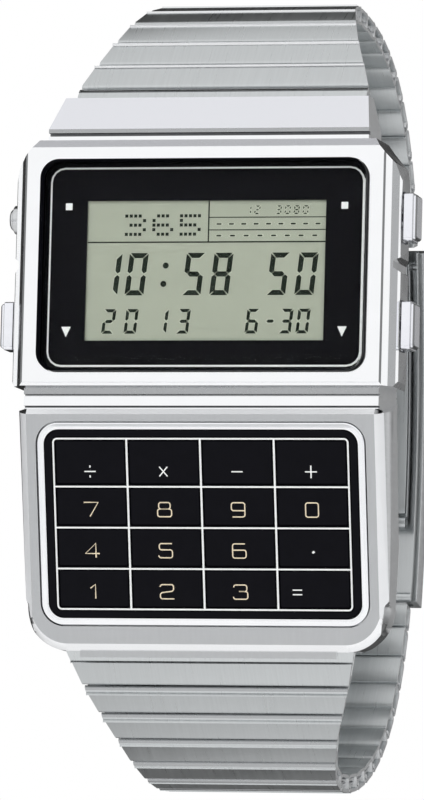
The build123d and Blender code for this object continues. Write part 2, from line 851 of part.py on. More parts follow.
def keypad_layer(name, depth, thickness, notch_length=0):
    """A flat layer of the keypad, with or without a notch for the ribbon in its upper edge."""
    with BuildPart() as layer:
        with BuildSketch(keypad_plane(depth)) as sheet:
            with Locations((0, -keypad_place)):
                Rectangle(layer_width, layer_length)
            if notch_length:
                with Locations((0, layer_top - notch_length / 2)):
                    Rectangle(ribbon_width + 2 * keypad_fit, notch_length, mode=Mode.SUBTRACT)
        extrude(sheet.sketch, amount=thickness)
    finish(layer, name)


keypad_layer("keypad_rubber_mat", mat_depth, mat_thickness)
keypad_layer("keypad_circuit_board", board_depth, keypad_board_thickness)
keypad_layer("keypad_backing_plate", backing_depth, backing_thickness, ribbon_slot_length)


def keypad_point(place, depth):
    """A point on the keypad's middle line as (y, z): a place up the slope and a depth under the face."""
    return (
        keypad_origin_y - place * sin(tilt) + depth * cos(tilt),
        keypad_origin_z + place * cos(tilt) + depth * sin(tilt),
    )


# The ribbon leaves the keypad's circuit board through the notch and ends on the main board.
ribbon_near = layer_top - ribbon_slot_length / 2
ribbon_far = ribbon_near - ribbon_thickness
ribbon_start = keypad_point(ribbon_near, board_depth)
ribbon_start_under = keypad_point(ribbon_far, board_depth)
ribbon_turn = keypad_point(ribbon_near, board_depth + ribbon_bend)
ribbon_turn_under = keypad_point(ribbon_far, board_depth + ribbon_bend + ribbon_thickness)
board_bottom = frame_place - frame_length / 2 + board_margin
with BuildPart() as keypad_ribbon:
    with BuildSketch(Plane.YZ):
        with BuildLine():
            Polyline(
                ribbon_start,
                ribbon_turn,
                (-board_height, board_bottom - ribbon_level),
                (-board_height, board_bottom + ribbon_lap),
                (-board_height + ribbon_thickness, board_bottom + ribbon_lap),
                (-board_height + ribbon_thickness, board_bottom - ribbon_level),
                ribbon_turn_under,
                ribbon_start_under,
                close=True,
            )
        make_face()
    extrude(amount=ribbon_width / 2, both=True)
finish(keypad_ribbon, "keypad_ribbon")

# Side buttons: a lipped cap, a stem and the flange that keeps it in
for name, side, place, reach, is_round in buttons:
    cap_face = reach - button_cap_thickness
    lip_thickness = button_cap_thickness - button_crown
    with BuildPart() as button:
        with BuildSketch(Plane.YZ.offset(side * cap_face)):
            with Locations((-button_height, place)):
                if is_round:
                    Circle(pusher_diameter / 2)
                else:
                    RectangleRounded(button_depth, button_length, button_lip)
        extrude(amount=side * lip_thickness)
        with BuildSketch(Plane.YZ.offset(side * (cap_face + lip_thickness))):
            with Locations((-button_height, place)):
                if is_round:
                    Circle(pusher_diameter / 2 - button_lip)
                else:
                    RectangleRounded(button_depth - button_lip, button_length - button_lip, button_lip)
        extrude(amount=side * button_crown)
        chamfer(button.faces().sort_by(Axis.X)[-1 if side > 0 else 0].edges(), length=button_crown / 2)
        with BuildSketch(Plane.YZ.offset(side * button_stem_end)):
            with Locations((-button_height, place)):
                Circle(button_stem_diameter / 2)
        extrude(amount=side * (cap_face - button_stem_end))
        with BuildSketch(Plane.YZ.offset(side * button_stem_end)):
            with Locations((-button_height, place)):
                Circle(button_flange_diameter / 2)
        extrude(amount=side * button_flange_thickness)
    finish(button, name)

with BuildPart() as button_seals:
    for name, side, place, reach, is_round in buttons:
        with BuildSketch(Plane.YZ.offset(side * seal_start)):
            with Locations((-button_height, place)):
                Circle(seal_diameter / 2)
                Circle(button_stem_diameter / 2 + button_fit, mode=Mode.SUBTRACT)
        extrude(amount=side * seal_length)
finish(button_seals, "button_seals")

# Case back, gasket and screws
with BuildPart() as back_gasket:
    with BuildSketch(Plane.XZ.offset(back_thickness)):
        ring(gasket_outer_width, gasket_outer_length, gasket_radius, gasket_width)
    extrude(amount=gasket_depth)
finish(back_gasket, "back_gasket")

with BuildPart() as case_back:
    with BuildSketch(Plane.XZ):
        RectangleRounded(back_width, back_length, back_radius)
    extrude(amount=back_thickness)
    chamfer(case_back.edges().group_by(Axis.Y)[-1], length=back_chamfer)
    with BuildSketch(Plane.XZ):
        with Locations(*screw_places):
            Circle(screw_diameter / 2 + screw_fit)
    extrude(amount=back_thickness, mode=Mode.SUBTRACT)
    with BuildSketch(Plane.XZ):
        with Locations(*screw_places):
            Circle(screw_head_diameter / 2 + screw_fit)
    extrude(amount=screw_sink + screw_head_height, mode=Mode.SUBTRACT)
    cut_upper_corners()
finish(case_back, "case_back")

with BuildPart() as case_back_screws:
    with BuildSketch(Plane.XZ.offset(screw_sink)):
        with Locations(*screw_places):
            Circle(screw_head_diameter / 2)
            Rectangle(screw_slot_length, screw_slot_width, mode=Mode.SUBTRACT)
    extrude(amount=screw_slot_depth)
    with BuildSketch(Plane.XZ.offset(screw_sink + screw_slot_depth)):
        with Locations(*screw_places):
            Circle(screw_head_diameter / 2)
    extrude(amount=screw_head_height - screw_slot_depth)
    with BuildSketch(Plane.XZ.offset(screw_sink + screw_head_height)):
        with Locations(*screw_places):
            Circle(screw_diameter / 2)
    extrude(amount=screw_length - screw_sink - screw_head_height)
finish(case_back_screws, "case_back_screws")

with BuildPart() as spring_bars:
    with BuildSketch(Plane.YZ):
        with Locations(*bar_places):
            Circle(spring_bar_diameter / 2)
    extrude(amount=pocket_width / 2 + spring_bar_tip - screw_fit, both=True)
finish(spring_bars, "spring_bars")


def stations(start, side, first_length, headings):
    """The hinge points down one half of the bracelet, as (y, z)."""
    points = [start]
    for i, heading in enumerate(headings):
        length = first_length if i == 0 else link_pitch
        y, z = points[-1]
        turn = radians(heading)
        points.append((y + length * sin(turn), z + side * length * cos(turn)))
    return points


def link_width(shares, i):
    """The width of the bracelet at its hinge number i."""
    share = shares[i] if i < len(shares) else 0
    return strap_end_width + share * (strap_width - strap_end_width)


def link_planes(point, heading, side):
    """A link's face plane, looking inward along it, and its side plane; both start at its hinge."""
    turn = radians(heading)
    origin = (0, point[0], point[1])
    face = Plane(origin=origin, x_dir=(side, 0, 0), z_dir=(0, -cos(turn), side * sin(turn)))
    profile = Plane(origin=origin, x_dir=(0, sin(turn), side * cos(turn)), z_dir=(side, 0, 0))
    return face, profile


def cut_profile(plane, *outlines):
    """Cut closed side outlines through the full width of the bracelet."""
    with BuildSketch(plane) as profile:
        for outline in outlines:
            with BuildLine():
                Polyline(*outline, close=True)
            make_face()
    extrude(profile.sketch, amount=strap_width, both=True, mode=Mode.SUBTRACT)


def make_link(face, profile, length, start_width, end_width, start_gap, end_gap, groove):
    """One folded link: a wide plate and a narrow strip, parted by a groove, and eased inner corners."""
    half = link_thickness / 2
    near = start_gap
    far = length - end_gap
    with BuildSketch(face) as plate:
        with BuildLine():
            Polyline(
                (start_width / 2, near),
                (end_width / 2, far),
                (-end_width / 2, far),
                (-start_width / 2, near),
                close=True,
            )
        make_face()
    extrude(plate.sketch, amount=half, both=True)
    cut_profile(
        profile,
        [
            (groove, half),
            (groove + strip_groove / 2, half - strip_groove_depth),
            (groove + strip_groove, half),
        ],
        [
            (near, -half),
            (near + inner_chamfer_length, -half),
            (near, -half + 2 * inner_chamfer),
        ],
        [
            (far, -half),
            (far - inner_chamfer_length, -half),
            (far, -half + 2 * inner_chamfer),
        ],
    )


def cut_round(point, diameter):
    """A round bore across the bracelet."""
    with BuildSketch(Plane.YZ) as bore:
        with Locations(point):
            Circle(diameter / 2)
    extrude(bore.sketch, amount=strap_width, both=True, mode=Mode.SUBTRACT)


def add_round(point, diameter, width):
    """A round bead across the bracelet."""
    with BuildSketch(Plane.YZ) as bead:
        with Locations(point):
            Circle(diameter / 2)
    extrude(bead.sketch, amount=width / 2, both=True)


chains = {}
for side, bar_place, first_length, headings, shares in (
    (1, bar_places[0], top_first_link, top_headings, top_width_shares),
    (-1, bar_places[1], bottom_first_link, bottom_headings, bottom_width_shares),
):
    points = stations(bar_place, side, first_length, headings)
    chains[side] = points
    first = 0
    for group, count in enumerate(group_counts):
        last = first + count
        with BuildPart() as links:
            # from the far link to the near one, so that each bead meets a groove already cut
            for i in reversed(range(first, last)):
                face, profile = link_planes(points[i], headings[i], side)
                length = first_length if i == 0 else link_pitch
                free_end = side < 0 and i == len(headings) - 1
                start_gap = 0 if i == 0 else link_gap / 2
                end_gap = open_pivot_gap + spring_bar_diameter / 2 if free_end else link_gap / 2
                start_width = link_width(shares, i)
                end_width = link_width(shares, i + 1)
                if side > 0:
                    groove = length - end_gap - strip_length - strip_groove
                elif i == 0:
                    groove = bottom_strip_end
                else:
                    groove = start_gap + strip_length
                make_link(
                    face, profile, length, start_width, end_width, start_gap, end_gap, groove
                )
                if i == 0:
                    add_round(points[0], link_thickness, strap_width)
                    cut_round(points[0], spring_bar_diameter + 2 * spring_bar_fit)
                else:
                    cut_round(points[i], bead_diameter + 2 * bead_clearance)
                if not free_end:
                    add_round(points[i + 1], bead_diameter, end_width - 2 * link_gap)
        finish(links, f"{side_name(side)}_links_{group + 1}")
        first = last

# The clasp lies on an arc between the ends of the two halves.
(top_y, top_z), (bottom_y, bottom_z) = chains[1][-1], chains[-1][-1]
chord = hypot(top_y - bottom_y, top_z - bottom_z)
out_y = (top_z - bottom_z) / chord
out_z = (bottom_y - top_y) / chord
centre_distance = sqrt(clasp_radius**2 - (chord / 2) ** 2)
clasp_centre = (
    (top_y + bottom_y) / 2 - out_y * centre_distance,
    (top_z + bottom_z) / 2 - out_z * centre_distance,
)
top_angle = degrees(atan2(top_z - clasp_centre[1], top_y - clasp_centre[0]))
bottom_angle = degrees(atan2(bottom_z - clasp_centre[1], bottom_y - clasp_centre[0]))
clasp_length = radians(top_angle - bottom_angle) * clasp_radius


def clasp_angle(place):
    """The angle on the clasp's arc at a distance along it from its upper end."""
    return top_angle - degrees(place / clasp_radius)


def clasp_point(place, rise):
    """A point of the clasp as (y, z): a distance along its arc, and a rise outward from it."""
    angle = radians(clasp_angle(place))
    reach = clasp_radius + rise
    return (clasp_centre[0] + reach * cos(angle), clasp_centre[1] + reach * sin(angle))


def clasp_sector(start, end, inner_rise, outer_rise):
    """A curved strip of the clasp's side profile, as a face in the sketch."""
    sweep = clasp_angle(start) - clasp_angle(end)
    with BuildLine() as strip:
        outer = CenterArc(clasp_centre, clasp_radius + outer_rise, clasp_angle(end), sweep)
        inner = CenterArc(clasp_centre, clasp_radius + inner_rise, clasp_angle(end), sweep)
        Line(outer @ 0, inner @ 0)
        Line(outer @ 1, inner @ 1)
    make_face(strip.edges())


def clasp_strip(start, end, inner_rise, outer_rise, width, mode=Mode.ADD):
    """A curved plate across the clasp."""
    with BuildSketch(Plane.YZ) as side_profile:
        clasp_sector(start, end, inner_rise, outer_rise)
    extrude(side_profile.sketch, amount=width / 2, both=True, mode=mode)


def clasp_barrel(point, diameter, width, mode=Mode.ADD):
    """A barrel or a pin across the clasp."""
    with BuildSketch(Plane.YZ) as barrel:
        with Locations(point):
            Circle(diameter / 2)
    extrude(barrel.sketch, amount=width / 2, both=True, mode=mode)


half_link = link_thickness / 2
base_outer_rise = blade_thickness - half_link
middle_inner_rise = base_outer_rise + blade_gap
middle_outer_rise = middle_inner_rise + blade_thickness - keypad_fit
cover_inner_rise = middle_outer_rise + blade_wall_gap
cover_outer_rise = cover_inner_rise + cover_plate
base_hinge = clasp_length - base_hinge_place
base_hinge_point = clasp_point(base_hinge, 0)
cover_hinge_rise = (middle_inner_rise + middle_outer_rise) / 2
cover_hinge_point = clasp_point(cover_hinge_place, cover_hinge_rise)
cover_end = clasp_length + cover_end_overlap
inner_cover_width = cover_width - 2 * cover_wall
notch_width = knuckle_width + 2 * knuckle_gap

with BuildPart() as clasp_base:
    clasp_strip(link_gap / 2, root_block_length, -half_link, half_link, strap_end_width)
    clasp_strip(root_block_length, base_hinge - blade_notch, -half_link, base_outer_rise, blade_width)
    clasp_strip(base_hinge - 2 * blade_notch, base_hinge, -half_link, base_outer_rise, knuckle_width)
    clasp_barrel(base_hinge_point, knuckle_diameter, knuckle_width)
    clasp_barrel(base_hinge_point, hinge_pin_diameter, blade_width)
    clasp_barrel(chains[1][-1], bead_diameter + 2 * bead_clearance, strap_width, mode=Mode.SUBTRACT)
finish(clasp_base, "clasp_base")

with BuildPart() as clasp_middle:
    clasp_strip(cover_hinge_place, base_hinge, middle_inner_rise, middle_outer_rise, blade_width)
    clasp_strip(
        base_hinge - blade_notch, base_hinge + blade_notch, -half_link, cover_outer_rise, notch_width,
        mode=Mode.SUBTRACT,
    )
    with BuildSketch(Plane.YZ.offset(notch_width / 2)):
        with Locations(base_hinge_point):
            Circle(knuckle_diameter / 2)
    extrude(amount=(blade_width - notch_width) / 2)
    with BuildSketch(Plane.YZ.offset(-notch_width / 2)):
        with Locations(base_hinge_point):
            Circle(knuckle_diameter / 2)
    extrude(amount=-(blade_width - notch_width) / 2)
    clasp_barrel(base_hinge_point, hinge_pin_diameter + 2 * hinge_fit, strap_width, mode=Mode.SUBTRACT)
    clasp_barrel(cover_hinge_point, cover_knuckle_diameter, blade_width)
    clasp_barrel(cover_hinge_point, hinge_pin_diameter + 2 * hinge_fit, strap_width, mode=Mode.SUBTRACT)
finish(clasp_middle, "clasp_middle")

with BuildPart() as clasp_cover:
    clasp_strip(cover_start, cover_end, -half_link, cover_outer_rise, cover_width)
    clasp_strip(
        cover_start - cut_overrun, cover_end + cut_overrun, -half_link - cut_overrun, cover_inner_rise,
        inner_cover_width, mode=Mode.SUBTRACT,
    )
    clasp_barrel(cover_hinge_point, hinge_pin_diameter, inner_cover_width)
    clasp_barrel(chains[-1][-1], spring_bar_diameter, inner_cover_width)
finish(clasp_cover, "clasp_cover")

print("keypad tilt", round(degrees(tilt), 5))
print("clasp length", round(clasp_length, 2), "angles", round(top_angle, 2), round(bottom_angle, 2))
print("upper hinges", [(round(y, 3), round(z, 3)) for y, z in chains[1]])
print("lower hinges", [(round(y, 3), round(z, 3)) for y, z in chains[-1]])
print("base hinge", base_hinge_point, "cover hinge", cover_hinge_point)
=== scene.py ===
import json
from math import cos, pi, radians, sin

import bpy
from mathutils import Matrix, Vector


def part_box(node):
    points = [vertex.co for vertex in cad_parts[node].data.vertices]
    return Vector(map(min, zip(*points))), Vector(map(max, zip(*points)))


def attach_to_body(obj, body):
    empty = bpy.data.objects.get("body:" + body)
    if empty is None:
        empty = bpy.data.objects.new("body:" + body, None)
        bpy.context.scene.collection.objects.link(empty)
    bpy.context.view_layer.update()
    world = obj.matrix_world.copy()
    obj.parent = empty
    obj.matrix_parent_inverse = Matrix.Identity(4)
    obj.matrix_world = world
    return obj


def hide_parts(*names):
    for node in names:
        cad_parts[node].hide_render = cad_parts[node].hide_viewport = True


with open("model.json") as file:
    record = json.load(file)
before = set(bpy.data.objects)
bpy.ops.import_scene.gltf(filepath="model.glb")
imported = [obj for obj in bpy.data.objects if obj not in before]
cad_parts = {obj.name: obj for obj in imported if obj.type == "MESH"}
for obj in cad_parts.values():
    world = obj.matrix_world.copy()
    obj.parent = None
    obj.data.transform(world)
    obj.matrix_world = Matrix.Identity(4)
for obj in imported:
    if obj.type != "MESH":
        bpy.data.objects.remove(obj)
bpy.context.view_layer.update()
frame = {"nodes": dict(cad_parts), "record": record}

bl_info = {
    "name": "Calculator watch",
    "version": (1, 0, 0),
    "blender": (4, 5, 0),
    "location": "View3D > Sidebar > Watch",
    "description": "Finishes a calculator watch round its packed solids",
    "category": "Object",
}

MM = 0.001
NODES = frame["nodes"]
BODIES = frame["record"]["behaviour"]["bodies"]
BODY_OF = {node: body for body, members in BODIES.items() for node in members}


def size_prop(name, description, default):
    """A length in metres, shown in the sidebar."""
    return bpy.props.FloatProperty(
        name=name, description=description, default=default, min=0,
        subtype="DISTANCE", unit="LENGTH", precision=5,
    )


def angle_prop(name, description, degrees):
    """An angle, shown in degrees."""
    return bpy.props.FloatProperty(
        name=name, description=description, default=radians(degrees), subtype="ANGLE", unit="ROTATION"
    )


def colour_prop(name, description, default):
    """A linear colour."""
    return bpy.props.FloatVectorProperty(
        name=name, description=description, default=default, size=3, min=0, max=1, subtype="COLOR"
    )


class WatchCaseSizes(bpy.types.PropertyGroup):
    edge_round: size_prop("Edge round", "Round of the case's outer edges", 0.12 * MM)
    bulge_ease: size_prop("Bulge ease", "Ease of the bulges' outer front corner", 0.24 * MM)
    fine_round: size_prop("Fine round", "Round of small edges, such as the keys'", 0.04 * MM)
    glass_round: size_prop("Glass round", "Round of the window's rim", 0.08 * MM)


class WatchDisplaySizes(bpy.types.PropertyGroup):
    print_height: size_prop("Print height", "Height of the printed marks over the back", 7.19 * MM)
    stripe_width: size_prop("Stripe width", "Width of the pale stripe round the display", 0.17 * MM)
    stripe_across: size_prop("Stripe across", "Width of the stripe's outline", 27.75 * MM)
    stripe_along: size_prop("Stripe along", "Length of the stripe's outline", 17.15 * MM)
    time_height: size_prop("Time height", "Height of the large figures", 3.7 * MM)
    date_height: size_prop("Date height", "Height of the small figures", 2.15 * MM)


class WatchBraceletSizes(bpy.types.PropertyGroup):
    pitch: size_prop("Pitch", "From one link's hinge to the next", 3.1 * MM)
    sheet: size_prop("Sheet", "Thickness of the folded sheet", 0.28 * MM)
    strip: size_prop("Strip", "Width of the polished strip on each link", 0.38 * MM)
    first_strip_end: size_prop("First strip end", "End of the lower half's first strip", 1.45 * MM)
    full_width: size_prop("Full width", "Width of the bracelet at the case", 26.0 * MM)
    end_width: size_prop("End width", "Width of the bracelet at the clasp", 16.6 * MM)
    gap: size_prop("Gap", "Gap between two links", 0.12 * MM)


class WatchColours(bpy.types.PropertyGroup):
    chrome: colour_prop("Chrome", "Polished case", (0.93, 0.94, 0.955))
    satin: colour_prop("Satin", "Satin faces of the case", (0.87, 0.88, 0.925))
    # Painted shade: the sides of the case, links and clasp and the case's faces that look back are given
    # this darker steel; the adjust button's pusher has it too.
    side: colour_prop("Side steel", "Sides of the case and of the links", (0.62, 0.63, 0.64))
    # Painted shade: the grooves and the case's rounded lower edges are made this dark.
    shade: colour_prop("Groove", "Narrow grooves, where little light comes", (0.2, 0.205, 0.215))
    # Painted shade: a dark line along the front's long edges and round the buttons' edges.
    line: colour_prop("Edge line", "Line along the front's long edges", (0.22, 0.225, 0.23))
    # Painted shade: a darker grey on the right outer facet, the seam's and hood's strips, the bulges' sides
    # and the lower links' near ends.
    dull_shade: colour_prop("Dull facets", "Side facets and the seam's upper strip", (0.42, 0.43, 0.44))
    plate: colour_prop("Keypad plate", "Satin plate round the keypad", (0.50, 0.51, 0.52))
    mask: colour_prop("Mask", "Black print under the window", (0.003, 0.003, 0.0045))
    brushed: colour_prop("Brushed steel", "Brushed faces of the links", (0.59, 0.612, 0.62))
    strip: colour_prop("Polished strip", "Polished strip of each link", (0.8, 0.81, 0.82))
    black: colour_prop("Black", "Printed surround and keys", (0.0045, 0.0045, 0.0065))
    lcd: colour_prop("Liquid crystal", "Ground of the display", (0.36, 0.385, 0.305))
    figures: colour_prop("Figures", "Dark figures of the display", (0.012, 0.018, 0.012))
    pale: colour_prop("Pale print", "Stripe, grid and signs", (0.86, 0.87, 0.85))
    gold: colour_prop("Warm print", "Figures on the keys", (0.78, 0.66, 0.47))


class WatchStage(bpy.types.PropertyGroup):
    turn: angle_prop("Turn", "How far the camera stands to the right", 14.0)
    tilt: angle_prop("Tilt", "How far the watch leans, bottom towards the camera", 6.0)
    distance: size_prop("Distance", "From the camera to the display", 0.8)
    pixels_per_metre: bpy.props.FloatProperty(
        name="Pixels per metre", description="Scale of the picture at the display", default=11580.0
    )
    centre_across: bpy.props.FloatProperty(
        name="Centre across", description="Where the display's middle line falls, in pixels", default=199.6
    )
    centre_down: bpy.props.FloatProperty(
        name="Centre down", description="Where the display's lower part falls, in pixels", default=371.3
    )
    floor_height: bpy.props.FloatProperty(
        name="Floor height", description="Height of the floor", default=-0.16,
        subtype="DISTANCE", unit="LENGTH",
    )


def settings(kind):
    """The scene's values of one kind: case, display, bracelet, colours or stage."""
    return getattr(bpy.context.scene, "watch_" + kind)


# Materials


def new_material(name):
    """A node material with its shader, and the texture coordinate of the object itself."""
    material = bpy.data.materials.new(name)
    material.use_nodes = True
    tree = material.node_tree
    tree.nodes.clear()
    output = tree.nodes.new("ShaderNodeOutputMaterial")
    shader = tree.nodes.new("ShaderNodeBsdfPrincipled")
    tree.links.new(shader.outputs[0], output.inputs["Surface"])
    place = tree.nodes.new("ShaderNodeTexCoord")
    return material, tree, shader, place


def noise(tree, place, stretch):
    """Noise on the object's own coordinates, so many grains to the metre along each axis."""
    mapping = tree.nodes.new("ShaderNodeMapping")
    mapping.inputs["Scale"].default_value = stretch
    texture = tree.nodes.new("ShaderNodeTexNoise")
    texture.inputs["Scale"].default_value = 1.0
    texture.inputs["Detail"].default_value = 3.0
    tree.links.new(place.outputs["Object"], mapping.inputs["Vector"])
    tree.links.new(mapping.outputs["Vector"], texture.inputs["Vector"])
    return texture.outputs["Fac"]


def ramp(tree, factor, low, high):
    """The factor spread between two colours or two grey values."""
    node = tree.nodes.new("ShaderNodeValToRGB")
    for stop, position, value in zip(node.color_ramp.elements, (0.3, 0.7), (low, high)):
        stop.position = position
        stop.color = (*value, 1) if hasattr(value, "__len__") else (value, value, value, 1)
    tree.links.new(factor, node.inputs["Fac"])
    return node.outputs["Color"]


def bump(tree, shader, factor, depth):
    """A fine relief, with its depth in metres."""
    node = tree.nodes.new("ShaderNodeBump")
    node.inputs["Strength"].default_value = 1.0
    node.inputs["Distance"].default_value = depth
    tree.links.new(factor, node.inputs["Height"])
    tree.links.new(node.outputs["Normal"], shader.inputs["Normal"])


def tones(colour, spread):
    """A darker and a lighter tone of one colour."""
    return [c * (1 - spread) for c in colour], [min(1, c * (1 + spread)) for c in colour]


def metal(name, colour, roughness, grain, spread=0.05, rough_spread=0.04):
    """A metal whose grain runs as the three grain counts say, in its tone and its gloss."""
    material, tree, shader, place = new_material(name)
    shader.inputs["Metallic"].default_value = 1.0
    factor = noise(tree, place, grain)
    tree.links.new(ramp(tree, factor, *tones(colour, spread)), shader.inputs["Base Color"])
    tree.links.new(
        ramp(tree, factor, roughness - rough_spread, roughness + rough_spread), shader.inputs["Roughness"]
    )
    return material


def solid_finish(name, colour, roughness, grain=900.0, spread=0.08, specular=0.5, relief=0.0):
    """A plastic, rubber or printed finish with a slight mottle."""
    material, tree, shader, place = new_material(name)
    shader.inputs["Specular IOR Level"].default_value = specular
    factor = noise(tree, place, (grain, grain, grain))
    tree.links.new(ramp(tree, factor, *tones(colour, spread)), shader.inputs["Base Color"])
    tree.links.new(ramp(tree, factor, roughness * 0.9, roughness * 1.1), shader.inputs["Roughness"])
    if relief:
        bump(tree, shader, factor, relief)
    return material


def window_glass(name):
    """Clear glass with a coating that keeps its reflection low."""
    material, tree, shader, place = new_material(name)
    shader.inputs["Transmission Weight"].default_value = 1.0
    shader.inputs["IOR"].default_value = 1.06
    shader.inputs["Specular IOR Level"].default_value = 0.25
    shader.inputs["Base Color"].default_value = (0.97, 0.98, 0.98, 1)
    factor = noise(tree, place, (300, 300, 300))
    tree.links.new(ramp(tree, factor, 0.0, 0.02), shader.inputs["Roughness"])
    return material


MATERIALS = {}
RUBBER_RELIEF = 0.004 * MM
MOULDING_RELIEF = 0.003 * MM


def finish(kind):
    """The material of one finish, made once."""
    if kind not in MATERIALS:
        colours = settings("colours")
        makers = {
            "chrome": lambda: metal("polished_chrome", colours.chrome, 0.12, (400, 400, 400), 0.01, 0.01),
            "bevel": lambda: metal("bright_bevel", colours.chrome, 0.55, (400, 400, 400), 0.01, 0.01),
            "satin": lambda: metal("satin_chrome", colours.satin, 0.2, (1500, 300, 300), 0.008, 0.01),
            "plate": lambda: metal("satin_plate", colours.plate, 0.3, (4000, 500, 500), 0.02, 0.02),
            # Painted shade: the darker grey of facets, strips and the bulges' sides.
            "dull_shade": lambda: metal("dull_facet_painted_shade", colours.dull_shade, 0.28, (900, 900, 900), 0.02, 0.02),
            # Painted shade in the grooves and along the lower edges.
            "groove": lambda: metal("groove_painted_shade", colours.shade, 0.45, (900, 900, 900), 0.1, 0.04),
            # Painted shade: dark lines along edges.
            "line": lambda: metal("edge_line_painted_shade", colours.line, 0.3, (900, 900, 900), 0.05, 0.02),
            # Painted shade: darker steel for the sides and the faces that look back.
            "shade": lambda: metal("side_steel_painted_shade", colours.side, 0.32, (700, 700, 2600), 0.06, 0.04),
            "brushed": lambda: metal("brushed_steel", colours.brushed, 0.3, (5200, 200, 200), 0.035, 0.03),
            "strip": lambda: metal("polished_strip", colours.strip, 0.18, (400, 400, 400), 0.01, 0.01),
            "button": lambda: metal("polished_button", colours.satin, 0.17, (900, 900, 900), 0.02, 0.02),
            "pusher": lambda: metal("dark_pusher", colours.side, 0.22, (900, 2200, 2200), 0.06, 0.03),
            "spring": lambda: metal("spring_steel", (0.55, 0.55, 0.56), 0.3, (800, 800, 3000)),
            "brass": lambda: metal("buzzer_brass", (0.62, 0.42, 0.16), 0.28, (900, 900, 900)),
            "back": lambda: metal("brushed_back", colours.brushed, 0.3, (300, 300, 5200), 0.05, 0.04),
            "black": lambda: solid_finish("black_print", colours.black, 0.16, specular=0.05),
            "mask": lambda: solid_finish("black_mask", colours.mask, 0.4, specular=0.05),
            "lcd": lambda: solid_finish("liquid_crystal", colours.lcd, 0.45, 500.0, 0.02, 0.3),
            "figures": lambda: solid_finish("dark_figures", colours.figures, 0.5, specular=0.1),
            "halo": lambda: solid_finish("figure_halo", [1.28 * c for c in colours.lcd], 0.5, specular=0.1),
            "pale": lambda: solid_finish("pale_print", colours.pale, 0.45, 2000.0, 0.04),
            "gold": lambda: solid_finish("warm_print", colours.gold, 0.45, 2000.0, 0.08),
            "glass": lambda: window_glass("window_glass"),
            "rubber": lambda: solid_finish(
                "seal_rubber", (0.018, 0.018, 0.019), 0.7, 3000.0, 0.2, 0.3, RUBBER_RELIEF
            ),
            "board": lambda: solid_finish("green_board", (0.015, 0.11, 0.045), 0.4, 2500.0, 0.2, 0.4),
            "moulding": lambda: solid_finish(
                "black_moulding", (0.02, 0.02, 0.021), 0.55, 4000.0, 0.15, 0.4, MOULDING_RELIEF
            ),
            "frosted": lambda: solid_finish("frosted_guide", (0.78, 0.81, 0.79), 0.6, 3000.0, 0.04, 0.4),
        }
        MATERIALS[kind] = makers[kind]()
    return MATERIALS[kind]


def dress(piece, *kinds):
    """Give a piece its finishes, in slot order."""
    piece.data.materials.clear()
    for kind in kinds:
        piece.data.materials.append(finish(kind))


# Modelling


def only(piece):
    """Select one object and make it the active one."""
    bpy.ops.object.select_all(action="DESELECT")
    piece.select_set(True)
    bpy.context.view_layer.objects.active = piece
    return piece


def edit(piece):
    """Enter edit mode with everything selected."""
    only(piece)
    bpy.ops.object.mode_set(mode="EDIT")
    bpy.ops.mesh.select_all(action="SELECT")


def done():
    """Leave edit mode."""
    bpy.ops.object.mode_set(mode="OBJECT")


def pick(piece, test, domain="FACE"):
    """Select the faces, edges or vertices that pass a test, in edit mode."""
    edit(piece)
    bpy.ops.mesh.select_mode(type=domain)
    bpy.ops.mesh.select_all(action="DESELECT")
    done()
    elements = {"FACE": piece.data.polygons, "EDGE": piece.data.edges, "VERT": piece.data.vertices}
    for element in elements[domain]:
        element.select = test(element)
    bpy.ops.object.mode_set(mode="EDIT")


def settle(piece):
    """Put a piece's place, turn and scale into its mesh."""
    only(piece)
    bpy.ops.object.transform_apply(location=True, rotation=True, scale=True)


def apply_modifier(piece, kind, **values):
    """Add one modifier and apply it."""
    only(piece)
    modifier = piece.modifiers.new(kind.lower(), kind)
    for key, value in values.items():
        setattr(modifier, key, value)
    bpy.ops.object.modifier_apply(modifier=modifier.name)


def round_edges(piece, width, angle=28.0, segments=2):
    """Round the sharp edges."""
    apply_modifier(
        piece, "BEVEL", width=width, segments=segments, limit_method="ANGLE", angle_limit=radians(angle),
        miter_outer="MITER_ARC", use_clamp_overlap=True, harden_normals=False,
    )


def smooth(piece, angle=30.0):
    """Shade smooth across soft edges."""
    only(piece)
    bpy.ops.object.shade_smooth_by_angle(angle=radians(angle))


def join(pieces, name):
    """Join meshes into one piece."""
    bpy.ops.object.select_all(action="DESELECT")
    for piece in pieces:
        piece.select_set(True)
    bpy.context.view_layer.objects.active = pieces[0]
    if len(pieces) > 1:
        bpy.ops.object.join()
    pieces[0].name = name
    pieces[0].data.name = name
    return pieces[0]


def copy_of(piece):
    """A copy with its own mesh."""
    twin = piece.copy()
    twin.data = piece.data.copy()
    bpy.context.scene.collection.objects.link(twin)
    return twin


def merged_copy(node, name):
    """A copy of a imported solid's mesh, welded and with its flat faces whole."""
    piece = bpy.data.objects.new(name, NODES[node].data.copy())
    piece.data.name = name
    bpy.context.scene.collection.objects.link(piece)
    edit(piece)
    bpy.ops.mesh.remove_doubles(threshold=0.000002)
    bpy.ops.mesh.customdata_custom_splitnormals_clear()
    bpy.ops.mesh.dissolve_limited(angle_limit=radians(0.4))
    done()
    return piece


def paint(piece, kind, test):
    """Give the faces that pass a test one of the piece's finishes."""
    slot = piece.data.materials.find(finish(kind).name)
    for face in piece.data.polygons:
        if test(face):
            face.material_index = slot


def attach(piece, node):
    """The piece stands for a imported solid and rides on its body."""
    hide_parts(node)
    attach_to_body(piece, BODY_OF[node])


def finished(node, word, kinds, width=0.0, angle=28.0, segments=2, shading=30.0):
    """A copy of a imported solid, named after its look, with round edges, smooth faces and its finishes."""
    piece = merged_copy(node, f"{node}_{word}")
    if width:
        round_edges(piece, width, angle, segments)
    smooth(piece, shading)
    dress(piece, *kinds)
    return piece


class WatchOperator:
    """What the watch's operators share."""

    bl_options = {"REGISTER", "UNDO"}


# Case


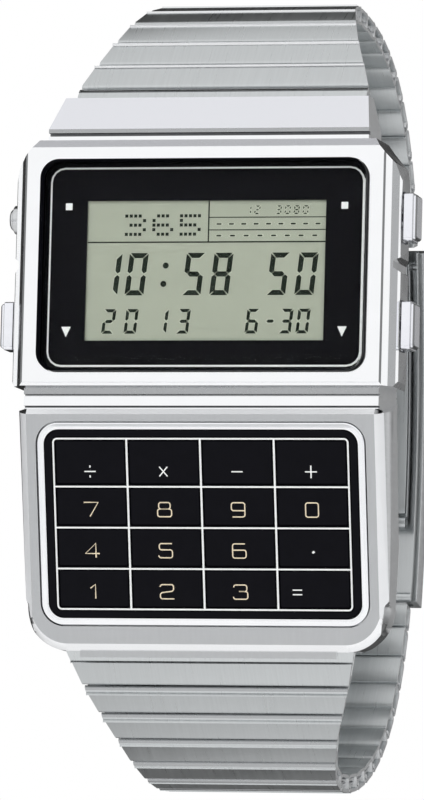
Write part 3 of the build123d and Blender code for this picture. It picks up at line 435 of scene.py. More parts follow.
# Places on the case in millimetres, from the middle of its back: x to either side, y, and z up
BULGE_CORNER = (17.2, -6.7)
BLOCK_CORNER = (16.0, -8.2)
CORNER_REACH = 0.03
SEAM_GROOVE = (-3.3, -1.1)
HOOD_GROOVE = (20.6, 21.0)
GROOVE_END = 16.0
SEAM_FLOOR = (-7.66, -6.5)
HOOD_FLOOR = (-7.25, -6.5)
SEAM_STRIP = (-2.1, -1.2)
HOOD_STRIP = (20.98, 21.35)
SIDES_START = 12.5
DISPLAY_FOOT = -1.3
FRONT_EDGE = (15.7, 16.2)
FACET_START = 16.4
BULGE_START = 16.9
KEYPAD_BEVEL = (-3.8, -3.1)
KEYPAD_HEAD = -3.9
LIP = (-24.45, -23.9)
LOWER_EDGES = (-23.85, -24.4)
LOWER_EDGE_REACH = 0.13
LOWER_EDGE_END = 12.5


def within(length, stretch):
    """Whether a length in metres lies between two places in millimetres."""
    return stretch[0] * MM < length < stretch[1] * MM


def on_keypad_plate(face):
    """The sloping plate round the keypad."""
    return face.normal.y < -0.93 and -0.35 < face.normal.z < -0.15


def on_upward_bevel(face):
    """The bevels that face forward and up."""
    return face.normal.y < -0.6 and face.normal.z > 0.5


def in_groove(face):
    """The grooves at the seam and under the hood."""
    x, y, z = face.center
    at_seam = within(z, SEAM_GROOVE) and within(y, SEAM_FLOOR)
    under_hood = within(z, HOOD_GROOVE) and within(y, HOOD_FLOOR)
    return (at_seam or under_hood) and abs(x) < GROOVE_END * MM


def on_outer_facet(face):
    """The outer one of the two facets beside the display block's front."""
    turned = abs(face.normal.x) < 0.8 and -0.75 < face.normal.y < -0.5
    return turned and abs(face.center.x) > FACET_START * MM and face.center.z > DISPLAY_FOOT * MM


def on_right_facet(face):
    """The outer facet on the right, which turns away from the light."""
    return face.center.x > 0 and on_outer_facet(face)


def on_seam_strip(face):
    """The strip above the seam's groove."""
    return within(face.center.z, SEAM_STRIP) and face.normal.y < -0.9


def on_side(face):
    """The sides of the case."""
    return abs(face.normal.x) > 0.9 and abs(face.center.x) > SIDES_START * MM


def on_back(face):
    """The faces that look back."""
    return face.normal.y > 0.3


def on_hood_strip(face):
    """The strip below the hood's slope."""
    return within(face.center.z, HOOD_STRIP) and face.normal.y < -0.9


def on_keypad_facet(face):
    """The facets beside the keypad's plate."""
    turned = 0.65 < abs(face.normal.x) < 0.85 and face.normal.y < -0.5
    return turned and face.center.z < KEYPAD_HEAD * MM


def on_keypad_bevel(face):
    """The bevel along the top of the keypad block."""
    return within(face.center.z, KEYPAD_BEVEL) and face.normal.z > 0.5 and face.normal.y < -0.4


def on_bulge_side(face):
    """The outer sides of the bulges that carry the buttons."""
    turned = abs(face.normal.x) > 0.8 and face.normal.y > -0.3
    return turned and abs(face.center.x) > BULGE_START * MM


def on_lip(face):
    """The front of the lip under the keypad block."""
    return within(face.center.z, LIP) and face.normal.y < -0.5


def on_front_edge(face):
    """The rounded long edges of the display block's front."""
    turned = 0.12 < abs(face.normal.x) < 0.72 and abs(face.normal.z) < 0.3 and face.normal.y < -0.6
    return turned and within(abs(face.center.x), FRONT_EDGE) and face.center.z > DISPLAY_FOOT * MM


def on_lower_edge(face):
    """The rounded lower edges of the keypad block and of its lip."""
    low = min(abs(face.center.z - z * MM) for z in LOWER_EDGES) < LOWER_EDGE_REACH * MM
    turned = face.normal.z < -0.2 and face.normal.y < -0.05
    return low and turned and abs(face.center.x) < LOWER_EDGE_END * MM


def on_bulge_ease(face):
    """The eased outer corners of the bulges."""
    turned = 0.8 < abs(face.normal.x) < 0.955 and face.normal.y < -0.25
    return turned and abs(face.center.x) > BULGE_START * MM and face.center.z > DISPLAY_FOOT * MM


# The case's finishes from the first to the last that is laid on: a later one covers an earlier one. Several
# of them are painted shade: dark grooves and lower edges, dark lines along the front's edges, a darker grey
# on the right outer facet, the strips and the bulges' sides, and darker steel on the sides and the faces
# that look back.
CASE_FINISHES = (
    ("plate", on_keypad_plate), ("satin", on_upward_bevel), ("groove", in_groove),
    ("dull_shade", on_right_facet), ("dull_shade", on_seam_strip), ("shade", on_side), ("shade", on_back),
    ("dull_shade", on_hood_strip), ("bevel", on_keypad_facet), ("bevel", on_keypad_bevel),
    ("dull_shade", on_bulge_side), ("plate", on_lip), ("line", on_front_edge), ("groove", on_lower_edge),
    ("chrome", on_bulge_ease),
)


def ease_corners(case, corner, width):
    """Ease the upright corners of the display block that stand at (x, y), on both sides."""
    corners = case.data.vertices

    def at_corner(end):
        x, y = abs(end.x) - corner[0] * MM, end.y - corner[1] * MM
        return abs(x) < CORNER_REACH * MM and abs(y) < CORNER_REACH * MM

    pick(case, lambda e: all(at_corner(corners[v].co) for v in e.vertices), "EDGE")
    bpy.ops.mesh.bevel(offset=width, segments=1, affect="EDGES")
    done()


def crisp_facets(piece):
    """Shade each facet by its largest faces."""
    apply_modifier(piece, "WEIGHTED_NORMAL", mode="FACE_AREA", weight=90, keep_sharp=True)


class WATCH_OT_case(WatchOperator, bpy.types.Operator):
    """Round and polish the case body, the case back and its screws"""

    bl_idname = "watch.case"
    bl_label = "Case"

    def execute(self, context):
        sizes = settings("case")
        case = merged_copy("case_body", "case_body_polished")
        ease_corners(case, BULGE_CORNER, sizes.bulge_ease)
        ease_corners(case, BLOCK_CORNER, sizes.edge_round)
        round_edges(case, sizes.edge_round)
        smooth(case, 25)
        dress(case, "chrome", "satin", "shade", "plate", "groove", "dull_shade", "line", "bevel")
        # Lay on the finishes, the painted shade among them.
        for kind, test in CASE_FINISHES:
            paint(case, kind, test)
        for test in (on_outer_facet, on_bulge_ease):
            pick(case, test)
            bpy.ops.mesh.region_to_loop()
            bpy.ops.mesh.mark_sharp()
            done()
        crisp_facets(case)
        attach(case, "case_body")
        back = finished("case_back", "brushed", ["back"], sizes.fine_round)
        crisp_facets(back)
        attach(back, "case_back")
        attach(finished("case_back_screws", "turned", ["spring"], sizes.fine_round), "case_back_screws")
        return {"FINISHED"}


# Display


def prism(name, outline, depth, height):
    """A thin raised shape on the display's plane, from its corners as (x, z)."""
    mesh = bpy.data.meshes.new(name)
    mesh.from_pydata([(x, -height, z) for x, z in outline], [], [list(range(len(outline)))])
    piece = bpy.data.objects.new(name, mesh)
    bpy.context.scene.collection.objects.link(piece)
    edit(piece)
    bpy.ops.mesh.extrude_region_move(TRANSFORM_OT_translate={"value": (0, depth, 0)})
    bpy.ops.mesh.select_all(action="SELECT")
    bpy.ops.mesh.normals_make_consistent(inside=False)
    done()
    return piece


SEGMENTS = {
    "0": "abcdef", "1": "bc", "2": "abged", "3": "abgcd", "4": "fgbc",
    "5": "afgcd", "6": "afgedc", "7": "abc", "8": "abcdefg", "9": "abcdfg", "-": "g",
}


def segment_outlines(figure, width, height, thick, gap):
    """The outlines of one seven-segment figure, with its lower left corner at the origin."""
    half = height / 2
    t, g = thick, gap
    shapes = {
        "a": [(g, height), (width - g, height), (width - g - t, height - t), (g + t, height - t)],
        "d": [(g, 0), (width - g, 0), (width - g - t, t), (g + t, t)],
        "f": [
            (0, height - g), (t, height - g - t), (t, half + g + t / 2),
            (t / 2, half + g), (0, half + g + t / 3),
        ],
        "e": [(0, g), (t, g + t), (t, half - g - t / 2), (t / 2, half - g), (0, half - g - t / 3)],
        "g": [
            (g + t / 2, half), (g + t, half + t / 2), (width - g - t, half + t / 2),
            (width - g - t / 2, half), (width - g - t, half - t / 2), (g + t, half - t / 2),
        ],
    }
    shapes["b"] = [(width - x, z) for x, z in shapes["f"]]
    shapes["c"] = [(width - x, z) for x, z in shapes["e"]]
    return [shapes[letter] for letter in SEGMENTS[figure]]


# How far each figure leans for each step up, and the height of the panel's face over the back
LEAN = 0.11
READOUT_HEIGHT = 6.965 * MM
INK = 0.012 * MM
HALO_INK = 0.006 * MM
HALO_SPREAD = 0.1 * MM
SEGMENT_GAP = 0.07 * MM

# Each row of figures as signs and places across in millimetres, with its foot, width and stroke
TIME_ROW = ("105850", (-9.55, -7.2, -2.1, 0.37, 5.43, 7.94))
TIME_FOOT, TIME_WIDTH, TIME_STROKE = 6.75 * MM, 1.7 * MM, 0.45 * MM
DATE_ROW = ("20136-30", (-9.2, -7.2, -4.5, -2.54, 3.6, 5.2, 6.6, 8.12))
DATE_FOOT, DATE_WIDTH, DATE_STROKE = 3.41 * MM, 1.1 * MM, 0.28 * MM
TABLE_ROW = ("123080", (3.4, 4.2, 6.1, 6.9, 7.7, 8.5))
TABLE_FOOT, TABLE_WIDTH, TABLE_HEIGHT, TABLE_STROKE = 13.8 * MM, 0.5 * MM, 0.75 * MM, 0.11 * MM

# The colon's two round dots
COLON_ACROSS, COLON_HEIGHTS, COLON_RADIUS = -3.85 * MM, (7.75 * MM, 9.35 * MM), 0.27 * MM

# Ruled lines of the upper table in millimetres: left, right, foot and top
RULES = (
    (-10.6, 10.6, 11.33, 11.45), (0.12, 0.24, 11.4, 14.98), (0.2, 10.6, 13.5, 13.58),
    (0.2, 10.6, 12.4, 12.48),
)

# Rows of dashes in the upper table: foot, pitch and number, in millimetres
DASH_ROWS = ((12.68, 1.1, 9), (11.66, 1.22, 8))
DASH_START, DASH_WIDTH, DASH_HEIGHT, DASH_STROKE = 0.7 * MM, 0.75 * MM, 0.55 * MM, 0.13 * MM

# Dot figures at the upper left: their rows of dots, and in millimetres where they start
DOT_FIGURES = {
    "3": ("11110", "00001", "01110", "00001", "11110"),
    "6": ("01110", "10000", "11110", "10001", "01110"),
    "5": ("11111", "10000", "11110", "00001", "11110"),
}
DOTS_LEFT, DOTS_TOP = -7.3 * MM, 13.55 * MM
DOT_FIGURE_PITCH, DOT_PITCH, DOT_WIDTH = 2.45 * MM, 0.4 * MM, 0.27 * MM


def grown(outline, amount):
    """An outline moved outward from its middle."""
    cx = sum(x for x, z in outline) / len(outline)
    cz = sum(z for x, z in outline) / len(outline)
    moved = []
    for x, z in outline:
        away = Vector((x - cx, z - cz))
        away = away * (1 + amount / max(away.length, amount))
        moved.append((cx + away.x, cz + away.y))
    return moved


class WATCH_OT_readout(WatchOperator, bpy.types.Operator):
    """Lay the dark figures, dots and ruled lines on the liquid crystal panel"""

    bl_idname = "watch.readout"
    bl_label = "Readout"

    def execute(self, context):
        sizes = settings("display")
        panel = merged_copy("lcd_panel", "liquid_crystal_panel")
        dress(panel, "lcd")
        attach(panel, "lcd_panel")
        dark, pale = [], []

        def figure(sign, x, z, width, height, thick):
            for outline in segment_outlines(sign, width, height, thick, SEGMENT_GAP):
                leaning = [(x + px + LEAN * pz, z + pz) for px, pz in outline]
                dark.append(prism("segment", leaning, INK, READOUT_HEIGHT))
                halo = grown(leaning, HALO_SPREAD)
                pale.append(prism("halo", halo, HALO_INK, READOUT_HEIGHT - HALO_INK))

        for sign, x in zip(*TIME_ROW):
            figure(sign, x * MM, TIME_FOOT, TIME_WIDTH, sizes.time_height, TIME_STROKE)
        for sign, x in zip(*DATE_ROW):
            figure(sign, x * MM, DATE_FOOT, DATE_WIDTH, sizes.date_height, DATE_STROKE)
        dark += [*self.colon_dots(), *self.rules(), *self.dot_figures()]
        for sign, x in zip(*TABLE_ROW):
            figure(sign, x * MM, TABLE_FOOT, TABLE_WIDTH, TABLE_HEIGHT, TABLE_STROKE)
        for foot, pitch, count in DASH_ROWS:
            for place in range(count):
                x = DASH_START + pitch * place * MM
                figure("-", x, foot * MM, DASH_WIDTH, DASH_HEIGHT, DASH_STROKE)
        for pieces, name, kind in ((dark, "readout_figures", "figures"), (pale, "readout_halos", "halo")):
            layer = join(pieces, name)
            dress(layer, kind)
            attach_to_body(layer, "case")
        return {"FINISHED"}

    def colon_dots(self):
        """The two round dots of the time's colon."""
        for z in COLON_HEIGHTS:
            x = COLON_ACROSS + LEAN * (z - TIME_FOOT)
            turns = [k * pi / 6 for k in range(12)]
            dot = [(x + COLON_RADIUS * cos(turn), z + COLON_RADIUS * sin(turn)) for turn in turns]
            yield prism("colon", dot, INK, READOUT_HEIGHT)

    def rules(self):
        """The ruled lines of the upper table."""
        for left, right, foot, top in RULES:
            line = [(left, foot), (right, foot), (right, top), (left, top)]
            yield prism("rule", [(x * MM, z * MM) for x, z in line], INK, READOUT_HEIGHT)

    def dot_figures(self):
        """The three figures made of square dots."""
        for place, sign in enumerate("365"):
            for row, cells in enumerate(DOT_FIGURES[sign]):
                for column, cell in enumerate(cells):
                    if cell == "1":
                        x = DOTS_LEFT + DOT_FIGURE_PITCH * place + DOT_PITCH * column
                        z = DOTS_TOP - DOT_PITCH * row
                        right, top = x + DOT_WIDTH, z + DOT_WIDTH
                        dot = [(x, z), (right, z), (right, top), (x, top)]
                        yield prism("dot", dot, INK, READOUT_HEIGHT)


WINDOW_THICKNESS = 0.98 * MM
WINDOW_ROUND = 1.65 * MM
MASK_FACE = 7.1 * MM
MASK_DROP = 0.03 * MM
STRIPE_CORNER = 1.15 * MM
STRIPE_FLATTENING = 0.05
STRIPE_DROP = 0.03 * MM
MARK_ACROSS = 12.3 * MM
MARK_INK = 0.01 * MM
SQUARE_FOOT, SQUARE_TOP = 14.2 * MM, 14.8 * MM
POINT_FOOT, POINT_TOP, POINT_HALF = 3.1 * MM, 4.0 * MM, 0.42 * MM


def window_plate(name, width, length, middle, height):
    """A flat plate rounded along all its edges, its outer face at that height over the back.

    The round is wider than half the thickness, so the rim stands a little over both faces.
    """
    bpy.ops.object.select_all(action="DESELECT")
    bpy.ops.mesh.primitive_cube_add(size=1, location=(0, WINDOW_THICKNESS / 2 - height, middle))
    piece = bpy.context.active_object
    piece.name = name
    piece.scale = (width, WINDOW_THICKNESS, length)
    settle(piece)
    edit(piece)
    bpy.ops.mesh.select_mode(type="EDGE")
    bpy.ops.mesh.bevel(offset=WINDOW_ROUND, segments=10, affect="EDGES")
    done()
    return piece


class WATCH_OT_display(WatchOperator, bpy.types.Operator):
    """Make the window, the black mask under it and the pale marks printed on the mask"""

    bl_idname = "watch.display"
    bl_label = "Display"

    def execute(self, context):
        sizes = settings("display")
        low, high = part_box("display_window")
        width, length = high.x - low.x, high.z - low.z
        middle = (high.z + low.z) / 2
        window = window_plate("display_window_glass", width, length, middle, -low.y)
        round_edges(window, settings("case").glass_round, 60, 3)
        smooth(window, 50)
        dress(window, "glass", "mask")
        paint(window, "mask", lambda f: abs(f.normal.y) < 0.5)
        attach(window, "display_window")
        mask = merged_copy("display_mask", "display_mask_black")
        for vertex in mask.data.vertices:
            if vertex.co.y < -MASK_FACE:
                vertex.co.y += MASK_DROP
        dress(mask, "mask")
        attach(mask, "display_mask")
        self.print_stripe(sizes, middle)
        self.print_marks(sizes)
        return {"FINISHED"}

    def print_stripe(self, sizes, middle):
        """The pale stripe round the display."""
        x, z = sizes.stripe_across / 2, sizes.stripe_along / 2
        stripe = stroke([(-x, -z), (x, -z), (x, z), (-x, z), (-x, -z)], sizes.stripe_width, STRIPE_CORNER)
        stripe.name = "display_stripe"
        stripe.data.transform(Matrix.Diagonal((1, STRIPE_FLATTENING, 1, 1)))
        stripe.data.transform(Matrix.Translation((0, -sizes.print_height, middle - STRIPE_DROP)))
        dress(stripe, "pale")
        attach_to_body(stripe, "case")

    def print_marks(self, sizes):
        """The small square and pointed marks beside the buttons."""
        marks = []
        for x in (-MARK_ACROSS, MARK_ACROSS):
            half = (SQUARE_TOP - SQUARE_FOOT) / 2
            left, right = x - half, x + half
            square = [(left, SQUARE_FOOT), (right, SQUARE_FOOT), (right, SQUARE_TOP), (left, SQUARE_TOP)]
            point = [(x - POINT_HALF, POINT_TOP), (x + POINT_HALF, POINT_TOP), (x, POINT_FOOT)]
            marks += [prism("mark", shape, MARK_INK, sizes.print_height) for shape in (square, point)]
        printed = join(marks, "display_marks")
        dress(printed, "pale")
        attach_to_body(printed, "case")


# Keypad


# The strokes of each key's sign, in shares of its width and height
STROKES = {
    "0": [[(0.1, 0), (0.9, 0), (0.9, 1), (0.1, 1), (0.1, 0)]],
    "1": [[(0.3, 0.72), (0.62, 1), (0.62, 0)]],
    "2": [[(0.08, 0.84), (0.08, 1), (0.92, 1), (0.92, 0.55), (0.08, 0.42), (0.08, 0), (0.95, 0)]],
    "3": [[(0.08, 0.84), (0.08, 1), (0.9, 1), (0.9, 0.54), (0.4, 0.54)],
          [(0.4, 0.54), (0.95, 0.54), (0.95, 0), (0.05, 0), (0.05, 0.17)]],
    "4": [[(0.72, 0), (0.72, 1), (0.05, 0.28), (0.95, 0.28)]],
    "5": [[(0.9, 1), (0.1, 1), (0.1, 0.56), (0.92, 0.56), (0.92, 0), (0.06, 0), (0.06, 0.17)]],
    "6": [[(0.86, 1), (0.08, 1), (0.08, 0), (0.92, 0), (0.92, 0.56), (0.08, 0.56)]],
    "7": [[(0.05, 1), (0.95, 1), (0.42, 0)]],
    "8": [[(0.14, 0.54), (0.14, 1), (0.86, 1), (0.86, 0.54), (0.14, 0.54)],
          [(0.06, 0.54), (0.94, 0.54), (0.94, 0), (0.06, 0), (0.06, 0.54)]],
    "9": [[(0.92, 0.44), (0.08, 0.44), (0.08, 1), (0.92, 1), (0.92, 0), (0.14, 0)]],
    "divide": [[(0.08, 0.5), (0.92, 0.5)], [(0.5, 0.8), (0.5, 0.98)], [(0.5, 0.02), (0.5, 0.2)]],
    "multiply": [[(0.2, 0.12), (0.8, 0.88)], [(0.2, 0.88), (0.8, 0.12)]],
    "minus": [[(0.08, 0.5), (0.92, 0.5)]],
    "plus": [[(0.06, 0.5), (0.94, 0.5)], [(0.5, 0.0), (0.5, 1.0)]],
    "equals": [[(0.15, 0.68), (0.85, 0.68)], [(0.15, 0.32), (0.85, 0.32)]],
    "point": [[(0.42, 0.4), (0.58, 0.5)], [(0.45, 0.34), (0.61, 0.44)]],
}
CORNERED = "0235689"
CORNER_SHARE = 0.16
SIGN_FLATTENING = 0.12
SIGN_STROKE = 0.12 * MM
FIGURE_SIZE = (1.42 * MM, 1.24 * MM)
SIGN_SIZE = (1.2 * MM, 1.1 * MM)

# How far under the middle of its key a sign stands: figures, and the four rules of the top row
FIGURE_DROP, TOP_ROW_DROP = 0.25 * MM, 0.8 * MM
TOP_ROW = ("divide", "multiply", "minus", "plus")
SIGN_SHIFT, EQUALS_SHIFT = 0.05 * MM, 1.55 * MM
SIGN_DEPTH = 0.016 * MM
GRID_STROKE = 0.17 * MM
GRID_CORNER = 0.34 * MM
GRID_INSET = 0.125 * MM
GRID_RISE = 0.14 * MM
GRID_FLATTENING = 0.08
GRID_HEIGHT = 0.003 * MM
RIM_ROUND = 0.14 * MM

# The slope of the keypad block and the upper end of its face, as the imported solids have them
KEYPAD_TILT = radians(13.00348)
KEYPAD_START = Vector((0, -8.05, -3.7013)) * MM
UP_SLOPE = Vector((0, -sin(KEYPAD_TILT), cos(KEYPAD_TILT)))
OUT_SLOPE = Vector((0, -cos(KEYPAD_TILT), -sin(KEYPAD_TILT)))


def stroke(points, width, rounding):
    """A flat ribbon along a path of (x, z) points, with round turns."""
    mesh = bpy.data.meshes.new("stroke")
    closed = points[0] == points[-1] and len(points) > 2
    used = points[:-1] if closed else points
    edges = [(k, k + 1) for k in range(len(used) - 1)] + ([(len(used) - 1, 0)] if closed else [])
    mesh.from_pydata([(x, 0, z) for x, z in used], edges, [])
    piece = bpy.data.objects.new("stroke", mesh)
    bpy.context.scene.collection.objects.link(piece)
    if rounding:
        apply_modifier(piece, "BEVEL", width=rounding, segments=4, affect="VERTICES", limit_method="NONE")
    only(piece)
    bpy.ops.object.convert(target="CURVE")
    piece.data.bevel_depth = width / 2
    piece.data.bevel_resolution = 1
    piece.data.use_fill_caps = True
    bpy.ops.object.convert(target="MESH")
    return piece


def key_legend(sign, width, height):
    """The strokes of one key's sign, flattened to a print, centred on its plane."""
    parts = []
    for path in STROKES[sign]:
        points = [((x - 0.5) * width, (z - 0.5) * height) for x, z in path]
        parts.append(stroke(points, SIGN_STROKE, CORNER_SHARE * height if sign in CORNERED else 0))
    legend = join(parts, "legend_" + sign)
    legend.data.transform(Matrix.Diagonal((1, SIGN_FLATTENING, 1, 1)))
    return legend


def on_slope(place):
    """The move that lays a flat mark, made upright at the origin, on the keypad's slope."""
    return Matrix((
        (1, 0, 0, place.x),
        (0, cos(KEYPAD_TILT), -sin(KEYPAD_TILT), place.y),
        (0, sin(KEYPAD_TILT), cos(KEYPAD_TILT), place.z),
        (0, 0, 0, 1),
    ))


class WATCH_OT_keypad(WatchOperator, bpy.types.Operator):
    """Finish the keypad's rim, surround, grid and sixteen keys, and print their signs"""

    bl_idname = "watch.keypad"
    bl_label = "Keypad"

    def execute(self, context):
        fine = settings("case").fine_round
        attach(finished("keypad_rim", "polished", ["chrome"], RIM_ROUND, 40, 3, 40), "keypad_rim")
        attach(finished("keypad_surround", "black", ["black"], fine, 40), "keypad_surround")
        grid = merged_copy("keypad_lattice", "keypad_grid_pale")
        smooth(grid)
        dress(grid, "black")
        attach(grid, "keypad_lattice")
        lines = self.rule_grid()
        dress(lines, "pale")
        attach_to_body(lines, "case")
        for node in sorted(n for n in NODES if n.startswith("key_")):
            attach(finished(node, "cap", ["black"]), node)
            self.print_sign(node, node[4:])
        return {"FINISHED"}

    def print_sign(self, node, sign):
        """The sign of one key, raised a little over its face."""
        low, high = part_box(node)
        middle = (low + high) / 2
        up = (middle - KEYPAD_START).dot(UP_SLOPE)
        plain = sign.isdigit()
        legend = key_legend(sign, *(FIGURE_SIZE if plain else SIGN_SIZE))
        drop = TOP_ROW_DROP if sign in TOP_ROW else FIGURE_DROP
        place = KEYPAD_START + UP_SLOPE * (up - drop) - OUT_SLOPE * SIGN_DEPTH
        place.x = middle.x - (EQUALS_SHIFT if sign == "equals" else SIGN_SHIFT)
        legend.data.transform(on_slope(place))
        dress(legend, "gold" if plain else "pale")
        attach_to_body(legend, BODY_OF[node])

    def rule_grid(self):
        """The thin pale lines along the middle of the lattice's bars."""
        corners = [v.co for v in NODES["keypad_lattice"].data.vertices]
        rises = [(corner - KEYPAD_START).dot(UP_SLOPE) for corner in corners]
        across = max(corner.x for corner in corners) - GRID_INSET
        top, bottom = max(rises) - GRID_INSET, min(rises) + GRID_INSET
        middle = (top + bottom) / 2
        half = (top - bottom) / 2
        edge = [(-across, -half), (across, -half), (across, half), (-across, half), (-across, -half)]
        lines = [stroke(edge, GRID_STROKE, GRID_CORNER)]
        for x in (-across / 2, 0, across / 2):
            lines.append(stroke([(x, -half), (x, half)], GRID_STROKE, 0))
        for node in ("key_7", "key_4", "key_1"):
            key_top = max((v.co - KEYPAD_START).dot(UP_SLOPE) for v in NODES[node].data.vertices)
            rise = key_top + GRID_RISE - middle
            lines.append(stroke([(-across, rise), (across, rise)], GRID_STROKE, 0))
        grid = join(lines, "keypad_grid_lines")
        grid.data.transform(Matrix.Diagonal((1, GRID_FLATTENING, 1, 1)))
        grid.data.transform(on_slope(KEYPAD_START + UP_SLOPE * middle + OUT_SLOPE * GRID_HEIGHT))
        return grid


# Buttons


BUTTON_ROUND = 0.07 * MM


class WATCH_OT_buttons(WatchOperator, bpy.types.Operator):
    """Round and polish the four side buttons"""

    bl_idname = "watch.buttons"
    bl_label = "Buttons"

    def execute(self, context):
        for node in ("button_light", "button_clear", "button_mode", "button_adjust"):
            kinds = ["pusher" if node == "button_adjust" else "button", "line"]
            button = finished(node, "polished", kinds, BUTTON_ROUND, 25, 3, 40)
            # The buttons' rounded edges are painted a dark line, a painted shade outline.
            paint(button, "line", lambda f: 0.4 < abs(f.normal.x) < 0.93 and f.normal.y < 0.3)
            attach(button, node)
        return {"FINISHED"}


# Bracelet


# Where each link heads, in degrees back from straight up or down, from the case to the clasp
UPPER_HEADINGS = (38, 42, 44, 51, 62, 76, 86, 93, 98, 103, 109, 117, 126, 135, 144, 152, 159)
LOWER_HEADINGS = (39, 45, 48.5, 55.5, 65.5, 80, 91, 98, 104, 110, 117, 125, 133, 141, 149, 156, 162)

# How far the bracelet's width at each hinge still is from its width at the clasp, as a share
UPPER_SHARES = (1, 0.99, 0.78, 0.56, 0.38, 0.22, 0.1, 0.03)
LOWER_SHARES = (1, 0.76, 0.55, 0.34, 0.19, 0.06)

# Links in each group, from the case to the clasp
GROUPS = (3, 3, 3, 4, 4)

# Where each half starts, as (y, z), and the length of its first link
UPPER_START, UPPER_FIRST = (-3.2 * MM, 23.0 * MM), 2.7 * MM
LOWER_START, LOWER_FIRST = (-1.8 * MM, -23.0 * MM), 4.15 * MM

# One link from the side: its half height, its end faces and the folds of its sheet
HALF_HEIGHT = 0.8 * MM
NEAR_GAP = 0.06 * MM
FREE_GAP = 0.8 * MM
FACE_EDGE = 0.2 * MM
GROOVE_HALF, GROOVE_DEPTH = 0.07 * MM, 0.2 * MM
SHOULDER, FOLD, FOLD_DROP = 0.42 * MM, 0.06 * MM, 0.07 * MM
FAR_FOLD, FAR_FOLD_DROP, FAR_SHOULDER_DROP = 0.05 * MM, 0.06 * MM, 0.24 * MM
BACK_RISE, BACK_FOLD, BACK_CORNER = 0.3 * MM, 0.08 * MM, 0.32 * MM
LINK_ROUND = 0.035 * MM

# The tongue inside a link that joins it to the next one, and the sheet that closes its back
TONGUE_START, TONGUE_BEND, TONGUE_STEP, TONGUE_HEIGHT = 0.55 * MM, 0.5 * MM, 0.15 * MM, 0.1 * MM
TONGUE_NARROWING, TONGUE_SHEET = 0.5 * MM, 0.2 * MM
LINER_START, LINER_END, LINER_HEIGHT = 0.5 * MM, 0.2 * MM, -0.28 * MM
LINER_NARROWING, LINER_SHEET = 0.4 * MM, 0.22 * MM
BEAD_RADIUS, BEAD_NARROWING = 0.3 * MM, 0.24 * MM
EYE_RADIUS = 0.8 * MM
BAR_ROUND = 0.06 * MM
WIDE_GAP = 0.2 * MM
STRIP_OVERRUN, NEAR_SHADE_REACH, STRIP_FOOT = 1.0 * MM, 0.1 * MM, 0.3 * MM
SAME_WIDTH = 0.0001 * MM


def fold_sheet(points, widths, thickness):
    """Sheet metal folded along a side path of (along, outward) points, with its width at each point."""
    bpy.ops.object.select_all(action="DESELECT")
    bpy.ops.mesh.primitive_plane_add(size=1)
    sheet = bpy.context.active_object
    sheet.scale = (widths[0], 1, 1)
    settle(sheet)
    pick(sheet, lambda v: v.co.y > 0, "VERT")
    bpy.ops.mesh.delete(type="VERT")
    bpy.ops.mesh.select_all(action="SELECT")
    bpy.ops.transform.translate(value=(0, 0.5 + points[0][0], points[0][1]))
    for (a, b), (c, d), before, after in zip(points, points[1:], widths, widths[1:]):
        bpy.ops.mesh.extrude_region_move(TRANSFORM_OT_translate={"value": (0, c - a, d - b)})
        if abs(after - before) > SAME_WIDTH:
            bpy.ops.transform.resize(value=(after / before, 1, 1), center_override=(0, c, d))
    bpy.ops.mesh.select_all(action="SELECT")
    bpy.ops.mesh.normals_make_consistent(inside=False)
    done()
    apply_modifier(sheet, "SOLIDIFY", thickness=thickness, offset=0, use_even_offset=True)
    return sheet


def round_bar(name, radius, width, centre):
    """A round bar across a link, with eased ends."""
    bpy.ops.object.select_all(action="DESELECT")
    bpy.ops.mesh.primitive_cylinder_add(
        vertices=20, radius=radius, depth=width, location=(0, *centre), rotation=(0, pi / 2, 0)
    )
    bar = bpy.context.active_object
    bar.name = name
    settle(bar)
    round_edges(bar, BAR_ROUND, 60, 2)
    return bar


